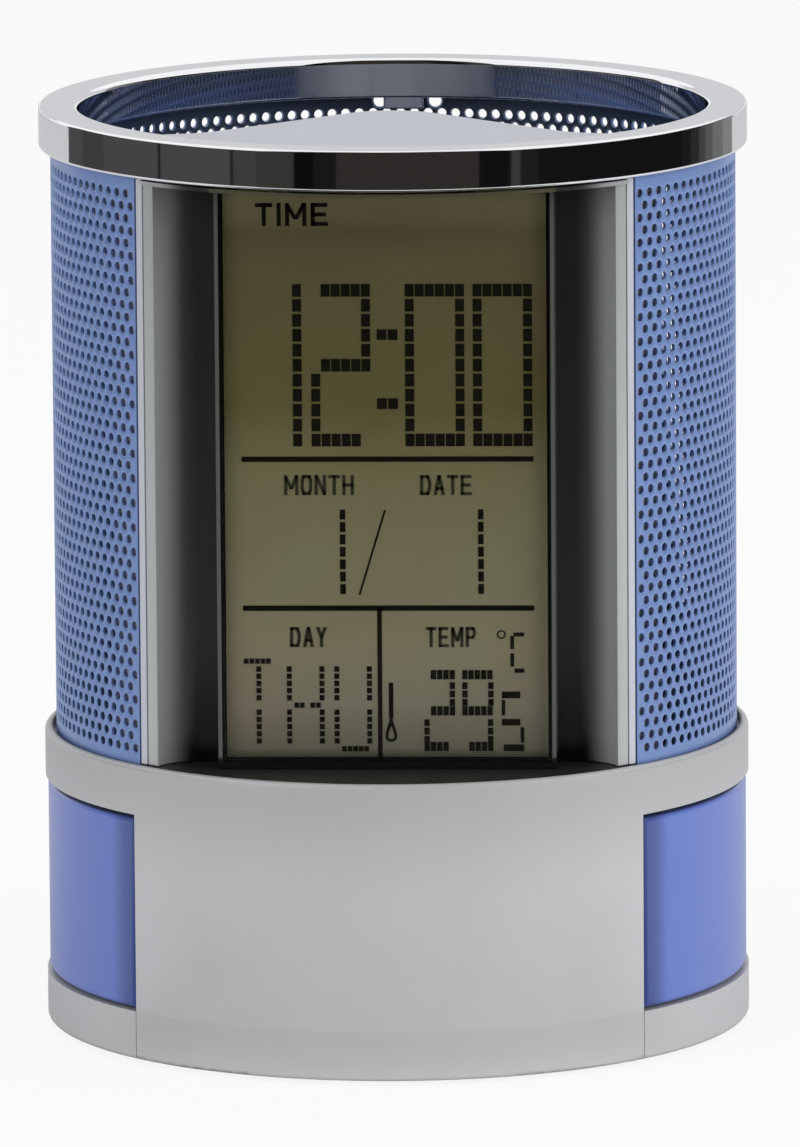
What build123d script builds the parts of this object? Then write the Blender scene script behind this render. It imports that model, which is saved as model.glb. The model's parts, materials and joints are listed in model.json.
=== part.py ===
from build123d import *
import os
from math import cos, degrees, radians, sin, sqrt, tan

os.makedirs("parts", exist_ok=True)

# Pen holder clock: a round cup of perforated sheet on a deep base, with a display in its front.
# Millimetres, +Z up. The origin is on the table, under the middle of the cup.
# The display looks along -Y. Angles round the cup are counted from the front towards +X.

# Driving dimensions
total_height = 105.1
base_top = 34.1
foot_proud = 0.5
wall = 2.0
thin_wall = 1.6
sheet = 0.5
running_gap = 0.3
seat_gap = 0.1
overrun = 1.0
module_angle = 45.4
flange_width = 1.05
strip_width = 1.5
seam_gap = 0.12

# Cells and their compartment, which set how wide the base and so the whole cup is
cell_radius = 5.25
cell_length = 44.5
cell_gap = 0.7
nub_radius = 1.9
nub_length = 0.8
contact_sheet = 0.4
spring_length = 3.0
dimple_length = 1.3
box_wall = 2.5
box_clearance = 0.4
key_bay = 12.6
cells_span = cell_length + spring_length + dimple_length + 2 * contact_sheet + 2 * seat_gap
box_half_y = cells_span / 2
body_radius = box_half_y + box_wall + key_bay

# Ring at the mouth of the cup
ring_height = 4.6
ring_width = 4.5
ring_wall = 1.2
ring_edge = 0.4
ring_bottom = total_height - ring_height
ring_inner = body_radius - ring_width
clip_width = 4.8
clip_drop = 1.4

# Perforated sheet round the cup. Plain openings stand for its fine holes.
groove_depth = 1.0
end_gap = 0.4
opening_columns = 12
opening_rows = 5
web_width = 5.5
web_height = 5.2
sleeve_outer = body_radius - ring_wall - seat_gap
sleeve_inner = sleeve_outer - sheet
sleeve_bottom = base_top - groove_depth + seat_gap
sleeve_top = total_height - ring_wall - running_gap

# Clock bezel: display frame, a cove each side of it and an outer strip
frame_lip = 0.5
window_seat = 1.0
step_lap = 0.3
well_lap = 0.95
cove_width = 5.2
cove_rise = 3.45
cove_depth = 4.9
cove_foot = 1.65
cove_wall = 2.4
bar_height = 0.6
roof_thickness = 0.45
roof_setback = 0.8
peg_width = 6.0
peg_height = 2.0
peg_angle = 20.0
seam_angle = module_angle - degrees(flange_width / sleeve_outer)
strip_start_angle = seam_angle - degrees(strip_width / sleeve_outer)
strip_inner_x = sleeve_outer * sin(radians(strip_start_angle))
cove_floor = sleeve_outer * cos(radians(strip_start_angle)) - cove_rise
frame_half = strip_inner_x - cove_width - cove_foot
frame_front = cove_floor + cove_depth
bezel_back = cove_floor - cove_wall
bezel_bottom = base_top + seat_gap
bezel_top = ring_bottom - running_gap
roof_bottom = bezel_top - roof_thickness
window_half = frame_half - frame_lip
window_low = bezel_bottom + bar_height
window_high = roof_bottom - bar_height
display_half = window_half - step_lap
display_low = window_low + step_lap
display_high = window_high - step_lap

# Display and the board behind it
window_gap = 0.15
glass_gap = 0.6
window_thickness = 0.9
lcd_thickness = 2.8
zebra_height = 2.2
zebra_inset = 2.6
board_thickness = 1.2
board_margin = 1.2
board_front = bezel_back - seat_gap
board_back = board_front - board_thickness
lcd_front = frame_front - window_seat - glass_gap
lcd_back = lcd_front - lcd_thickness
board_low = bezel_bottom + bar_height
board_high = roof_bottom - thin_wall
board_screw_edge = 1.9
board_screw_inset = 6.0
zebra_half = frame_half - zebra_inset
board_half = frame_half + board_margin
board_screw_x = board_half - board_screw_edge
small_shank = 0.7
small_head = 1.6
small_head_height = 1.1
small_pilot_depth = 2.4
thread_gap = 0.03
hole_gap = 0.3

# Clock housing: the shell behind the display, with a rounded nose into the cup
housing_outer = sleeve_inner - running_gap
flange_outer = sleeve_outer + seat_gap
housing_seam = seam_angle + degrees(seam_gap / sleeve_outer)
shoulder_slope = 16.0
nose_slope = 45.0
flank_depth = 3.7
shoulder_step = 1.4
knee_radius = 8.0
nose_radius = 6.5
top_recess = 0.8
housing_bottom = base_top + seat_gap
shelf_top = bezel_top + seat_gap
housing_top = total_height - top_recess
lid_radius = ring_inner - running_gap
housing_screw_offset = 3.3
housing_screw_inset = 10.0
housing_screw_depth = 1.9
head_recess = 1.4
module_boss_offset = 9.1
module_boss_depth = 9.5
module_boss_radius = 2.5
module_boss_height = 10.0
module_pilot_depth = 7.0

knee_setback = bezel_back - flank_depth
knee_x = frame_half + shoulder_step
nose_reach = knee_x * tan(radians(nose_slope)) - knee_setback
housing_screw_x = frame_half + housing_screw_offset
module_boss_x = frame_half - module_boss_offset
mate_line = bezel_back - seat_gap
module_boss_setback = mate_line - module_boss_depth

# Base shell
deck_thickness = 2.2
neck_height = 10.1
neck_wall = 1.5
rim_edge = 0.6
lower_edge = 0.5
tray_rim_height = 5.5
rim_top = foot_proud + tray_rim_height
shell_low = rim_top + seat_gap
deck_bottom = base_top - deck_thickness
base_inner = body_radius - wall
neck_outer = sleeve_inner - running_gap
neck_start = 55.2
post_inset = 11.0
post_y = 11.0
post_x = base_inner - post_inset
post_radius = 3.0
post_pilot_depth = 12.0
screw_shank = 1.45
screw_head = 2.5
screw_head_height = 1.5
screw_boss_height = 2.0

# Side panels
panel_end_angle = 134.0
panel_thickness = 1.6
panel_gap = 0.4
panel_inset = 0.3
panel_edge = 0.7
rim_band = 6.0
panel_peg_radius = 1.2
panel_peg_length = 1.6
panel_low = shell_low + seat_gap
panel_high = base_top - rim_band
panel_height = panel_high - panel_low
panel_outer = body_radius - panel_inset
panel_inner = panel_outer - panel_thickness
backing_outer = panel_inner - seat_gap

# Keys in the back of the base
key_names = ("mode_button", "set_button", "up_button", "down_button")
key_pitch = 6.4
key_level = 17.0
key_radius = 2.0
key_proud = 1.0
key_travel = 0.6
key_flange = 2.8
key_flange_thickness = 0.8
key_stem = 1.2
key_stem_length = 1.5
key_edge = 0.35
key_pocket_depth = 2.2
key_pocket_height = 9.2
key_pad_half = 15.0
switch_half = 2.5
switch_height = 2.0
switch_plunger = 1.5
switch_plunger_height = 0.8
key_board_half = 15.6
key_board_height = 13.0
slot_bite = 0.7
rail_width = 2.0
pocket_face = body_radius - key_pocket_depth
pad_face = pocket_face - thin_wall
flange_back = pad_face - seat_gap - key_flange_thickness
stem_tip = flange_back - key_stem_length
plunger_tip = stem_tip - key_travel - seat_gap
key_board_face = plunger_tip - switch_plunger_height - switch_height
key_board_back = key_board_face - board_thickness
key_board_middle = (key_board_back + key_board_face) / 2

# Places of the cells, and the door under them
door_layer = 0.9
door_wing = 1.3
door_gap = 0.3
door_top = foot_proud + wall - seat_gap
cell_x = cell_radius + cell_gap / 2
cell_level = foot_proud + wall + box_clearance + cell_radius
box_half_x = cell_x + cell_radius + box_clearance
box_top = cell_level + cell_radius + box_clearance
cell_front = -box_half_y + seat_gap + contact_sheet + spring_length
opening_half = box_half_x - running_gap
wing_half = opening_half + door_wing
tab_width = 3.0
tab_level = cell_level + cell_radius - door_wing

# Feet
foot_radius = 4.0
foot_height = 1.0
foot_inset = 7.5
foot_margin = 3.75
foot_x = wing_half + foot_radius + foot_margin
foot_y = sqrt((body_radius - foot_inset) ** 2 - foot_x**2)

# Leads and the sounder
buzzer_radius = 10.0
buzzer_disc = 7.0
buzzer_plate = 0.3
ribbon_thickness = 0.6
ribbon_width = 10.0
ribbon_bend = 1.2
ribbon_end = 8.0
lead_radius = 0.5
lead_spread = 3.0
lead_bend = 3.0

far_reach = body_radius * 2
half_turn = 180
full_turn = 360


# Point at a radius and an angle counted from the front
def spot(radius, angle):
    return (radius * sin(radians(angle)), -radius * cos(radians(angle)))


# Slice of the disc between two angles, as a flat face
def slice_face(start, end, reach=far_reach):
    steps = 8
    edge_points = [spot(reach, start + (end - start) * step / steps) for step in range(steps + 1)]
    with BuildSketch() as slice_sketch:
        with BuildLine():
            Polyline((0, 0), *edge_points, close=True)
        make_face()
    return slice_sketch.sketch


# Plane that stands on the cup's side at an angle, looking outwards
def side_plane(radius, angle, level):
    east, north = spot(radius, angle)
    return Plane(origin=(east, north, level), x_dir=(0, 0, 1), z_dir=(*spot(1, angle), 0))


sleeve_start = module_angle + degrees(end_gap / sleeve_outer)
back_slice = slice_face(sleeve_start, full_turn - sleeve_start)
groove_slice = slice_face(module_angle, full_turn - module_angle)
neck_slice = slice_face(neck_start, full_turn - neck_start)
tray_start = module_angle + degrees(seat_gap / body_radius)
tray_slice = slice_face(tray_start, full_turn - tray_start)
roof_slice = slice_face(-seam_angle, seam_angle)
panel_start = module_angle + degrees(panel_gap / body_radius)
panel_stop = panel_end_angle - degrees(panel_gap / body_radius)
key_places = [(step - (len(key_names) - 1) / 2) * key_pitch for step in range(len(key_names))]
key_spots = [(place, key_level) for place in key_places]

# Top ring: a channel that opens downwards and drops over the sheet
clip_inner = ring_inner + ring_wall / 2
clip_outer = sleeve_inner - seat_gap
clip_half_angle = degrees(clip_width / 2 / clip_outer)
clip_angles = (half_turn - 2 * module_angle, half_turn, half_turn + 2 * module_angle)
clip_slices = [slice_face(angle - clip_half_angle, angle + clip_half_angle) for angle in clip_angles]
with BuildPart() as top_ring:
    with BuildSketch(Plane.XZ) as ring_section:
        with Locations(((ring_inner + body_radius) / 2, (ring_bottom + total_height) / 2)):
            Rectangle(ring_width, ring_height)
        fillet(ring_section.vertices(), ring_edge)
        with Locations(((ring_inner + body_radius) / 2, ring_bottom)):
            Rectangle(ring_width - 2 * ring_wall, 2 * (ring_height - ring_wall), mode=Mode.SUBTRACT)
    revolve(axis=Axis.Z)
    # Clips behind the inner wall that hook the top edge of the sheet
    for clip_slice in clip_slices:
        with BuildSketch(Plane.XY.offset(ring_bottom - clip_drop)):
            Circle(clip_outer)
            Circle(clip_inner, mode=Mode.SUBTRACT)
            add(clip_slice, mode=Mode.INTERSECT)
        extrude(amount=clip_drop + ring_wall)
top_ring.part.label = "top_ring"
export_step(top_ring.part, "parts/top_ring.step")

# Perforated steel sheet, rolled to a C that ends at the clock
sleeve_arc = radians(full_turn - 2 * sleeve_start) * sleeve_outer
column_pitch = (sleeve_arc - web_width) / opening_columns
row_pitch = (ring_bottom - base_top - web_height) / opening_rows
opening_width = column_pitch - web_width
opening_height = row_pitch - web_height
first_opening = web_width + opening_width / 2
opening_angles = [
    sleeve_start + degrees((first_opening + column * column_pitch) / sleeve_outer)
    for column in range(opening_columns)
]
opening_levels = [base_top + web_height + opening_height / 2 + row * row_pitch for row in range(opening_rows)]
with BuildPart() as mesh_sleeve:
    with BuildSketch(Plane.XY.offset(sleeve_bottom)):
        Circle(sleeve_outer)
        Circle(sleeve_inner, mode=Mode.SUBTRACT)
        add(back_slice, mode=Mode.INTERSECT)
    extrude(amount=sleeve_top - sleeve_bottom)
    for opening_angle in opening_angles:
        with Locations(*[side_plane(sleeve_inner, opening_angle, level) for level in opening_levels]):
            Box(opening_height, opening_width, 2 * (sheet + overrun), mode=Mode.SUBTRACT)
mesh_sleeve.part.label = "mesh_sleeve"
export_step(mesh_sleeve.part, "parts/mesh_sleeve.step")

# Clock bezel: one half of its plan is drawn and mirrored
frame_corner = (frame_half, -frame_front)
cove_start = (frame_half + cove_foot, -frame_front + cove_depth)
strip_start = spot(sleeve_outer, strip_start_angle)
strip_end = spot(sleeve_outer, seam_angle)
strip_middle_angle = (seam_angle + strip_start_angle) / 2
rail_corner = (bezel_back * tan(radians(seam_angle)), -bezel_back)
peg_outer = body_radius - ring_wall - running_gap
peg_inner = ring_inner + ring_wall + running_gap
peg_half_angle = degrees(peg_width / 2 / peg_outer)
peg_slices = [slice_face(a - peg_half_angle, a + peg_half_angle) for a in (-peg_angle, peg_angle)]
board_levels = (board_low + board_screw_inset, board_high - board_screw_inset)
housing_levels = (housing_bottom + housing_screw_inset, shelf_top - housing_screw_inset)
board_spots = [(side * board_screw_x, level) for side in (-1, 1) for level in board_levels]
housing_spots = [(side * housing_screw_x, level) for side in (-1, 1) for level in housing_levels]
with BuildPart() as clock_bezel:
    with BuildSketch(Plane.XY.offset(bezel_bottom)):
        with BuildLine():
            Polyline(
                (0, -bezel_back),
                (0, -frame_front),
                frame_corner,
                (frame_half, cove_start[1]),
                cove_start,
            )
            TangentArc(cove_start, strip_start, tangent=(1, 0))
            ThreePointArc(strip_start, spot(sleeve_outer, strip_middle_angle), strip_end)
            Polyline(strip_end, rail_corner, (0, -bezel_back))
        make_face()
        mirror(about=Plane.YZ)
    extrude(amount=roof_bottom - bezel_bottom)
    # Roof over the alcove, and the pegs on it that centre the ring
    with BuildSketch(Plane.XY.offset(roof_bottom)):
        Circle(body_radius - roof_setback)
        add(roof_slice, mode=Mode.INTERSECT)
        with Locations((0, -bezel_back / 2)):
            Rectangle(2 * body_radius, bezel_back, mode=Mode.SUBTRACT)
    extrude(amount=roof_thickness)
    for peg_slice in peg_slices:
        with BuildSketch(Plane.XY.offset(bezel_top)):
            Circle(peg_outer)
            Circle(peg_inner, mode=Mode.SUBTRACT)
            add(peg_slice, mode=Mode.INTERSECT)
        extrude(amount=peg_height)
    # Well behind the display, the pocket that takes the display from the front and the seat of the window
    with BuildSketch(Plane.XZ.offset(bezel_back)):
        with Locations((0, (window_low + window_high) / 2)):
            Rectangle(2 * (display_half - well_lap), display_high - display_low - 2 * well_lap)
    extrude(amount=lcd_back - bezel_back, mode=Mode.SUBTRACT)
    with BuildSketch(Plane.XZ.offset(lcd_back - seat_gap)):
        with Locations((0, (window_low + window_high) / 2)):
            Rectangle(2 * display_half, display_high - display_low)
    extrude(amount=frame_front - lcd_back + seat_gap, mode=Mode.SUBTRACT)
    with BuildSketch(Plane.XZ.offset(frame_front - window_seat)):
        with Locations((0, (window_low + window_high) / 2)):
            Rectangle(2 * window_half, window_high - window_low)
    extrude(amount=window_seat, mode=Mode.SUBTRACT)
    # Screw holes for the board and for the housing
    with BuildSketch(Plane.XZ.offset(bezel_back)):
        with Locations(*board_spots):
            Circle(small_shank + thread_gap)
    extrude(amount=small_pilot_depth, mode=Mode.SUBTRACT)
    with BuildSketch(Plane.XZ.offset(bezel_back - overrun)):
        with Locations(*housing_spots):
            Circle(small_shank + thread_gap)
    extrude(amount=overrun + housing_screw_depth, mode=Mode.SUBTRACT)
clock_bezel.part.label = "clock_bezel"
export_step(clock_bezel.part, "parts/clock_bezel.step")

# Clear window in its seat
with BuildPart() as display_window:
    with BuildSketch(Plane.XZ.offset(frame_front - window_seat)):
        with Locations((0, (window_low + window_high) / 2)):
            Rectangle(2 * (window_half - window_gap), window_high - window_low - 2 * window_gap)
    extrude(amount=window_thickness)
display_window.part.label = "display_window"
export_step(display_window.part, "parts/display_window.step")

# Liquid crystal cell
lcd_half = display_half - seat_gap
lcd_low = display_low + seat_gap
lcd_high = display_high - seat_gap
with BuildPart() as lcd_panel:
    with BuildSketch(Plane.XZ.offset(lcd_back)):
        with Locations((0, (lcd_low + lcd_high) / 2)):
            Rectangle(2 * lcd_half, lcd_high - lcd_low)
    extrude(amount=lcd_thickness)
lcd_panel.part.label = "lcd_panel"
export_step(lcd_panel.part, "parts/lcd_panel.step")

# Rubber contact strips at the lower and upper edge of the cell
zebra_levels = (lcd_low + zebra_height, board_high - zebra_height)
with BuildPart() as contact_strips:
    with BuildSketch(Plane.XZ.offset(board_front)):
        with Locations(*[(0, level) for level in zebra_levels]):
            Rectangle(2 * zebra_half, zebra_height)
    extrude(amount=lcd_back - board_front)
contact_strips.part.label = "contact_strips"
export_step(contact_strips.part, "parts/contact_strips.step")

# Frame that holds the cell off the board
holder_low = zebra_levels[0] + zebra_height / 2 + running_gap
holder_high = zebra_levels[1] - zebra_height / 2 - running_gap
with BuildPart() as lcd_holder:
    with BuildSketch(Plane.XZ.offset(board_front + seat_gap)):
        with Locations((0, (holder_low + holder_high) / 2)):
            Rectangle(2 * zebra_half, holder_high - holder_low)
            Rectangle(
                2 * (zebra_half - thin_wall),
                holder_high - holder_low - 2 * thin_wall,
                mode=Mode.SUBTRACT,
            )
    extrude(amount=lcd_back - board_front - 2 * seat_gap)
lcd_holder.part.label = "lcd_holder"
export_step(lcd_holder.part, "parts/lcd_holder.step")

# Clock board
with BuildPart() as clock_board:
    with BuildSketch(Plane.XZ.offset(board_back)):
        with Locations((0, (board_low + board_high) / 2)):
            Rectangle(2 * board_half, board_high - board_low)
        with Locations(*board_spots):
            Circle(small_shank + hole_gap, mode=Mode.SUBTRACT)
    extrude(amount=board_thickness)
clock_board.part.label = "clock_board"
export_step(clock_board.part, "parts/clock_board.step")

# Screws that hold the board to the bezel
with BuildPart() as board_screws:
    with BuildSketch(Plane.XZ.offset(board_back - small_head_height)):
        with Locations(*board_spots):
            Circle(small_head)
    extrude(amount=small_head_height)
    with BuildSketch(Plane.XZ.offset(board_back)):
        with Locations(*board_spots):
            Circle(small_shank)
    extrude(amount=board_thickness + small_pilot_depth - seat_gap)
board_screws.part.label = "board_screws"
export_step(board_screws.part, "parts/board_screws.step")

# Resin cap over the clock chip
chip_radius = 6.0
chip_height = 1.4
chip_x = 5.0
chip_level = (board_low + board_high) / 2
with BuildPart() as chip_cap:
    with BuildSketch(Plane.XZ.offset(board_back - chip_height)):
        with Locations((chip_x, chip_level)):
            Circle(chip_radius)
    extrude(amount=chip_height)
    fillet(chip_cap.faces().sort_by(Axis.Y)[-1].edges(), chip_height / 2)
chip_cap.part.label = "chip_cap"
export_step(chip_cap.part, "parts/chip_cap.step")

# Quartz can lying on the board
quartz_radius = 1.0
quartz_length = 6.0
quartz_x = -7.0
with BuildPart() as quartz_crystal:
    with BuildSketch(Plane.XY.offset(chip_level)):
        with Locations((quartz_x, -board_back + quartz_radius)):
            Circle(quartz_radius)
    extrude(amount=quartz_length)
    fillet(quartz_crystal.edges().group_by(Axis.Z)[-1], quartz_radius / 2)
quartz_crystal.part.label = "quartz_crystal"
export_step(quartz_crystal.part, "parts/quartz_crystal.step")

# Bead that senses the temperature, on the lower edge of the board beside a screw
bead_radius = 1.2
bead_gap = 2.356
bead_x = -(board_screw_x - small_head - bead_gap - bead_radius)
bead_level = board_low + board_screw_inset
with BuildPart() as temperature_sensor:
    with BuildSketch(Plane.XZ.offset(board_back - 2 * bead_radius)):
        with Locations((bead_x, bead_level)):
            Circle(bead_radius)
    extrude(amount=2 * bead_radius)
    fillet(temperature_sensor.faces().sort_by(Axis.Y)[-1].edges(), bead_radius / 2)
temperature_sensor.part.label = "temperature_sensor"
export_step(temperature_sensor.part, "parts/temperature_sensor.step")


# Face of the housing's plan, set in from its rear wall, with its front left open
def nose_face(inset):
    nose_y = nose_reach - inset / cos(radians(nose_slope))
    line_y = -knee_setback - inset / cos(radians(shoulder_slope))
    rise = tan(radians(nose_slope)) - tan(radians(shoulder_slope))
    inner_knee_x = (nose_y - line_y - knee_x * tan(radians(shoulder_slope))) / rise
    inner_knee_y = nose_y - inner_knee_x * tan(radians(nose_slope))
    far_y = line_y - (far_reach - knee_x) * tan(radians(shoulder_slope))
    with BuildSketch() as plan:
        with BuildLine():
            Polyline(
                (0, -far_reach),
                (far_reach, -far_reach),
                (far_reach, far_y),
                (inner_knee_x, inner_knee_y),
                (0, nose_y),
                (0, -far_reach),
            )
        make_face()
        mirror(about=Plane.YZ)
        fillet(plan.vertices().group_by(Axis.Y)[-2], knee_radius + inset)
        fillet(plan.vertices().group_by(Axis.Y)[-1], nose_radius - inset)
    return plan.sketch


module_places = [(side * module_boss_x, -module_boss_setback) for side in (-1, 1)]
mate_radius = mate_line / cos(radians(housing_seam))
rear_face = nose_face(0)
inner_face = nose_face(thin_wall)
flange_slices = [
    slice_face(*sorted((side * housing_seam, side * module_angle))) for side in (-1, 1)
]
pocket_seam = housing_seam + degrees(thin_wall / mate_radius)
corner_slices = [
    slice_face(*sorted((side * pocket_seam, side * half_turn / 2))) for side in (-1, 1)
]
with BuildPart() as clock_housing:
    with BuildSketch(Plane.XY.offset(housing_bottom)) as lower_plan:
        Circle(housing_outer)
        add(rear_face, mode=Mode.INTERSECT)
        with BuildLine():
            Polyline(
                (0, -mate_line),
                spot(mate_radius, housing_seam),
                spot(far_reach, housing_seam),
                spot(far_reach, -housing_seam),
                spot(mate_radius, -housing_seam),
                close=True,
            )
        make_face(mode=Mode.SUBTRACT)
    extrude(amount=shelf_top - housing_bottom)
    with BuildSketch(Plane.XY.offset(shelf_top)):
        Circle(lid_radius)
        add(rear_face, mode=Mode.INTERSECT)
    extrude(amount=housing_top - shelf_top)
    # Flanges that show between the bezel and the sheet
    for flange_slice in flange_slices:
        with BuildSketch(Plane.XY.offset(housing_bottom)):
            Circle(flange_outer)
            Circle(housing_outer - thin_wall, mode=Mode.SUBTRACT)
            add(flange_slice, mode=Mode.INTERSECT)
        extrude(amount=shelf_top - housing_bottom)
    # Hollow behind the board, and the cored flanks
    with BuildSketch(Plane.XY.offset(housing_bottom)):
        with Locations((0, -mate_line)):
            Rectangle(2 * (board_half + running_gap), 2 * mate_line)
        add(inner_face, mode=Mode.INTERSECT)
    extrude(amount=shelf_top - housing_bottom - thin_wall, mode=Mode.SUBTRACT)
    for corner_slice in corner_slices:
        with BuildSketch(Plane.XY.offset(housing_bottom)):
            Circle(housing_outer - thin_wall)
            add(inner_face, mode=Mode.INTERSECT)
            add(corner_slice, mode=Mode.INTERSECT)
        extrude(amount=shelf_top - housing_bottom - thin_wall, mode=Mode.SUBTRACT)
    with BuildSketch(Plane.XY.offset(shelf_top - thin_wall)):
        Circle(lid_radius - thin_wall)
        add(inner_face, mode=Mode.INTERSECT)
    extrude(amount=housing_top - shelf_top, mode=Mode.SUBTRACT)
    # Bosses for the screws that come up through the deck
    with BuildSketch(Plane.XY.offset(housing_bottom)):
        with Locations(*module_places):
            Circle(module_boss_radius)
    extrude(amount=module_boss_height)
    with BuildSketch(Plane.XY.offset(housing_bottom)):
        with Locations(*module_places):
            Circle(small_shank + thread_gap)
    extrude(amount=module_pilot_depth, mode=Mode.SUBTRACT)
    # Recessed holes for the screws into the bezel
    with BuildSketch(Plane.XZ.offset(knee_setback - wall)):
        with Locations(*housing_spots):
            Circle(small_head + hole_gap)
    extrude(amount=wall + head_recess, mode=Mode.SUBTRACT)
    with BuildSketch(Plane.XZ.offset(knee_setback)):
        with Locations(*housing_spots):
            Circle(small_shank + hole_gap)
    extrude(amount=bezel_back + housing_screw_depth - knee_setback, mode=Mode.SUBTRACT)
clock_housing.part.label = "clock_housing"
export_step(clock_housing.part, "parts/clock_housing.step")

# Screws from the housing into the bezel
with BuildPart() as housing_screws:
    head_seat = knee_setback + head_recess
    with BuildSketch(Plane.XZ.offset(head_seat - small_head_height)):
        with Locations(*housing_spots):
            Circle(small_head)
    extrude(amount=small_head_height)
    with BuildSketch(Plane.XZ.offset(head_seat)):
        with Locations(*housing_spots):
            Circle(small_shank)
    extrude(amount=bezel_back + housing_screw_depth - head_seat - seat_gap)
housing_screws.part.label = "housing_screws"
export_step(housing_screws.part, "parts/housing_screws.step")

# Base shell: outer wall with a front apron, deck, rim groove and the neck inside the sheet
post_places = [(east * post_x, north * post_y) for east in (-1, 1) for north in (-1, 1)]
backing_inner = backing_outer - wall
panel_slices = [
    slice_face(module_angle, panel_end_angle),
    slice_face(-panel_end_angle, -module_angle),
]
backing_lap = degrees(wall / backing_outer)
backing_slices = [
    slice_face(module_angle - backing_lap, panel_end_angle + backing_lap),
    slice_face(-panel_end_angle - backing_lap, -module_angle + backing_lap),
]
peg_levels = (panel_low + panel_height / 3, panel_high - panel_height / 3)
panel_span = panel_end_angle - module_angle
peg_shares = (0.25, 0.75)
peg_bearings = [
    side * (module_angle + panel_span * share) for side in (-1, 1) for share in peg_shares
]
front_slice = slice_face(-module_angle, module_angle)
rail_inner_x = key_board_half - slot_bite
rail_low = key_level - key_board_height / 2
with BuildPart() as base_shell:
    with BuildSketch(Plane.XY.offset(shell_low)):
        Circle(body_radius)
        Circle(base_inner, mode=Mode.SUBTRACT)
    extrude(amount=base_top - shell_low)
    with BuildSketch(Plane.XY.offset(foot_proud)):
        Circle(body_radius)
        Circle(base_inner, mode=Mode.SUBTRACT)
        add(front_slice, mode=Mode.INTERSECT)
    extrude(amount=shell_low - foot_proud)
    low_edges = base_shell.edges().group_by(Axis.Z)[0].filter_by(GeomType.CIRCLE)
    fillet(low_edges.sort_by(SortBy.LENGTH)[-1], lower_edge)
    with BuildSketch(Plane.XY.offset(deck_bottom)):
        Circle(base_inner + wall / 2)
    extrude(amount=deck_thickness)
    fillet(base_shell.edges().group_by(Axis.Z)[-1], rim_edge)
    # Windows for the side panels, with a backing wall behind each
    for panel_slice, backing_slice in zip(panel_slices, backing_slices):
        with BuildSketch(Plane.XY.offset(shell_low)):
            Circle(base_inner)
            Circle(backing_inner, mode=Mode.SUBTRACT)
            add(backing_slice, mode=Mode.INTERSECT)
        extrude(amount=deck_bottom - shell_low + deck_thickness / 2)
        with BuildSketch(Plane.XY.offset(shell_low)):
            Circle(body_radius + overrun)
            Circle(backing_outer, mode=Mode.SUBTRACT)
            add(panel_slice, mode=Mode.INTERSECT)
        extrude(amount=panel_high + panel_gap - shell_low, mode=Mode.SUBTRACT)
    for bearing in peg_bearings:
        for level in peg_levels:
            with BuildSketch(side_plane(backing_inner - overrun, bearing, level)):
                Circle(panel_peg_radius + seat_gap)
            extrude(amount=wall + 2 * overrun, mode=Mode.SUBTRACT)
    # Groove that the sheet stands in, and the neck that it is pushed over
    with BuildSketch(Plane.XY.offset(base_top - groove_depth)):
        Circle(sleeve_outer + end_gap)
        Circle(neck_outer + seat_gap, mode=Mode.SUBTRACT)
        add(groove_slice, mode=Mode.INTERSECT)
    extrude(amount=groove_depth + overrun, mode=Mode.SUBTRACT)
    with BuildSketch(Plane.XY.offset(base_top)):
        Circle(neck_outer)
        Circle(neck_outer - neck_wall, mode=Mode.SUBTRACT)
        add(neck_slice, mode=Mode.INTERSECT)
    extrude(amount=neck_height)
    # Flat pocket for the keys, with a pad inside to carry them
    with BuildSketch(Plane.XY.offset(rail_low)):
        Circle(base_inner + wall / 2)
        with Locations((0, (pad_face + body_radius) / 2)):
            Rectangle(2 * key_pad_half, body_radius - pad_face, mode=Mode.INTERSECT)
    extrude(amount=key_board_height)
    with BuildSketch(Plane.XZ.offset(-pad_face)):
        with Locations((0, key_level)):
            Rectangle(2 * (key_places[-1] + key_flange + running_gap), key_board_height)
    extrude(amount=wall, mode=Mode.SUBTRACT)
    with BuildSketch(Plane.XZ.offset(-pocket_face)):
        with Locations((0, key_level)):
            RectangleRounded(2 * key_pad_half, key_pocket_height, wall)
    extrude(amount=-(body_radius - pocket_face + overrun), mode=Mode.SUBTRACT)
    with BuildSketch(Plane.XZ.offset(-(pad_face - overrun))):
        with Locations(*key_spots):
            Circle(key_radius + running_gap)
    extrude(amount=-(pocket_face - pad_face + 2 * overrun), mode=Mode.SUBTRACT)
    # Rails that hold the key board by its sides
    for side in (-1, 1):
        with BuildSketch(Plane.XY.offset(rail_low)):
            with Locations((side * (rail_inner_x + rail_width / 2), key_board_middle)):
                Rectangle(rail_width, board_thickness + 2 * rail_width)
        extrude(amount=deck_bottom - rail_low + seat_gap)
        with BuildSketch(Plane.XY.offset(rail_low - overrun)):
            with Locations((side * rail_inner_x, key_board_middle)):
                Rectangle(2 * (slot_bite + seat_gap), board_thickness + 2 * seat_gap)
        extrude(amount=key_board_height + overrun + seat_gap, mode=Mode.SUBTRACT)
    # Posts that the tray is screwed to
    with BuildSketch(Plane.XY.offset(foot_proud + wall + screw_boss_height + seat_gap)):
        with Locations(*post_places):
            Circle(post_radius)
            Circle(screw_shank + thread_gap, mode=Mode.SUBTRACT)
    extrude(until=Until.NEXT)
    # Holes in the deck: two screws for the clock and the slot for its ribbon
    with BuildSketch(Plane.XY.offset(deck_bottom)):
        with Locations(*module_places):
            Circle(small_shank + hole_gap)
        with Locations((0, -(board_back - seat_gap - ribbon_thickness / 2))):
            Rectangle(ribbon_width + 2 * end_gap, ribbon_thickness + 2 * end_gap)
    extrude(amount=deck_thickness, mode=Mode.SUBTRACT)
base_shell.part.label = "base_shell"
export_step(base_shell.part, "parts/base_shell.step")

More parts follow.
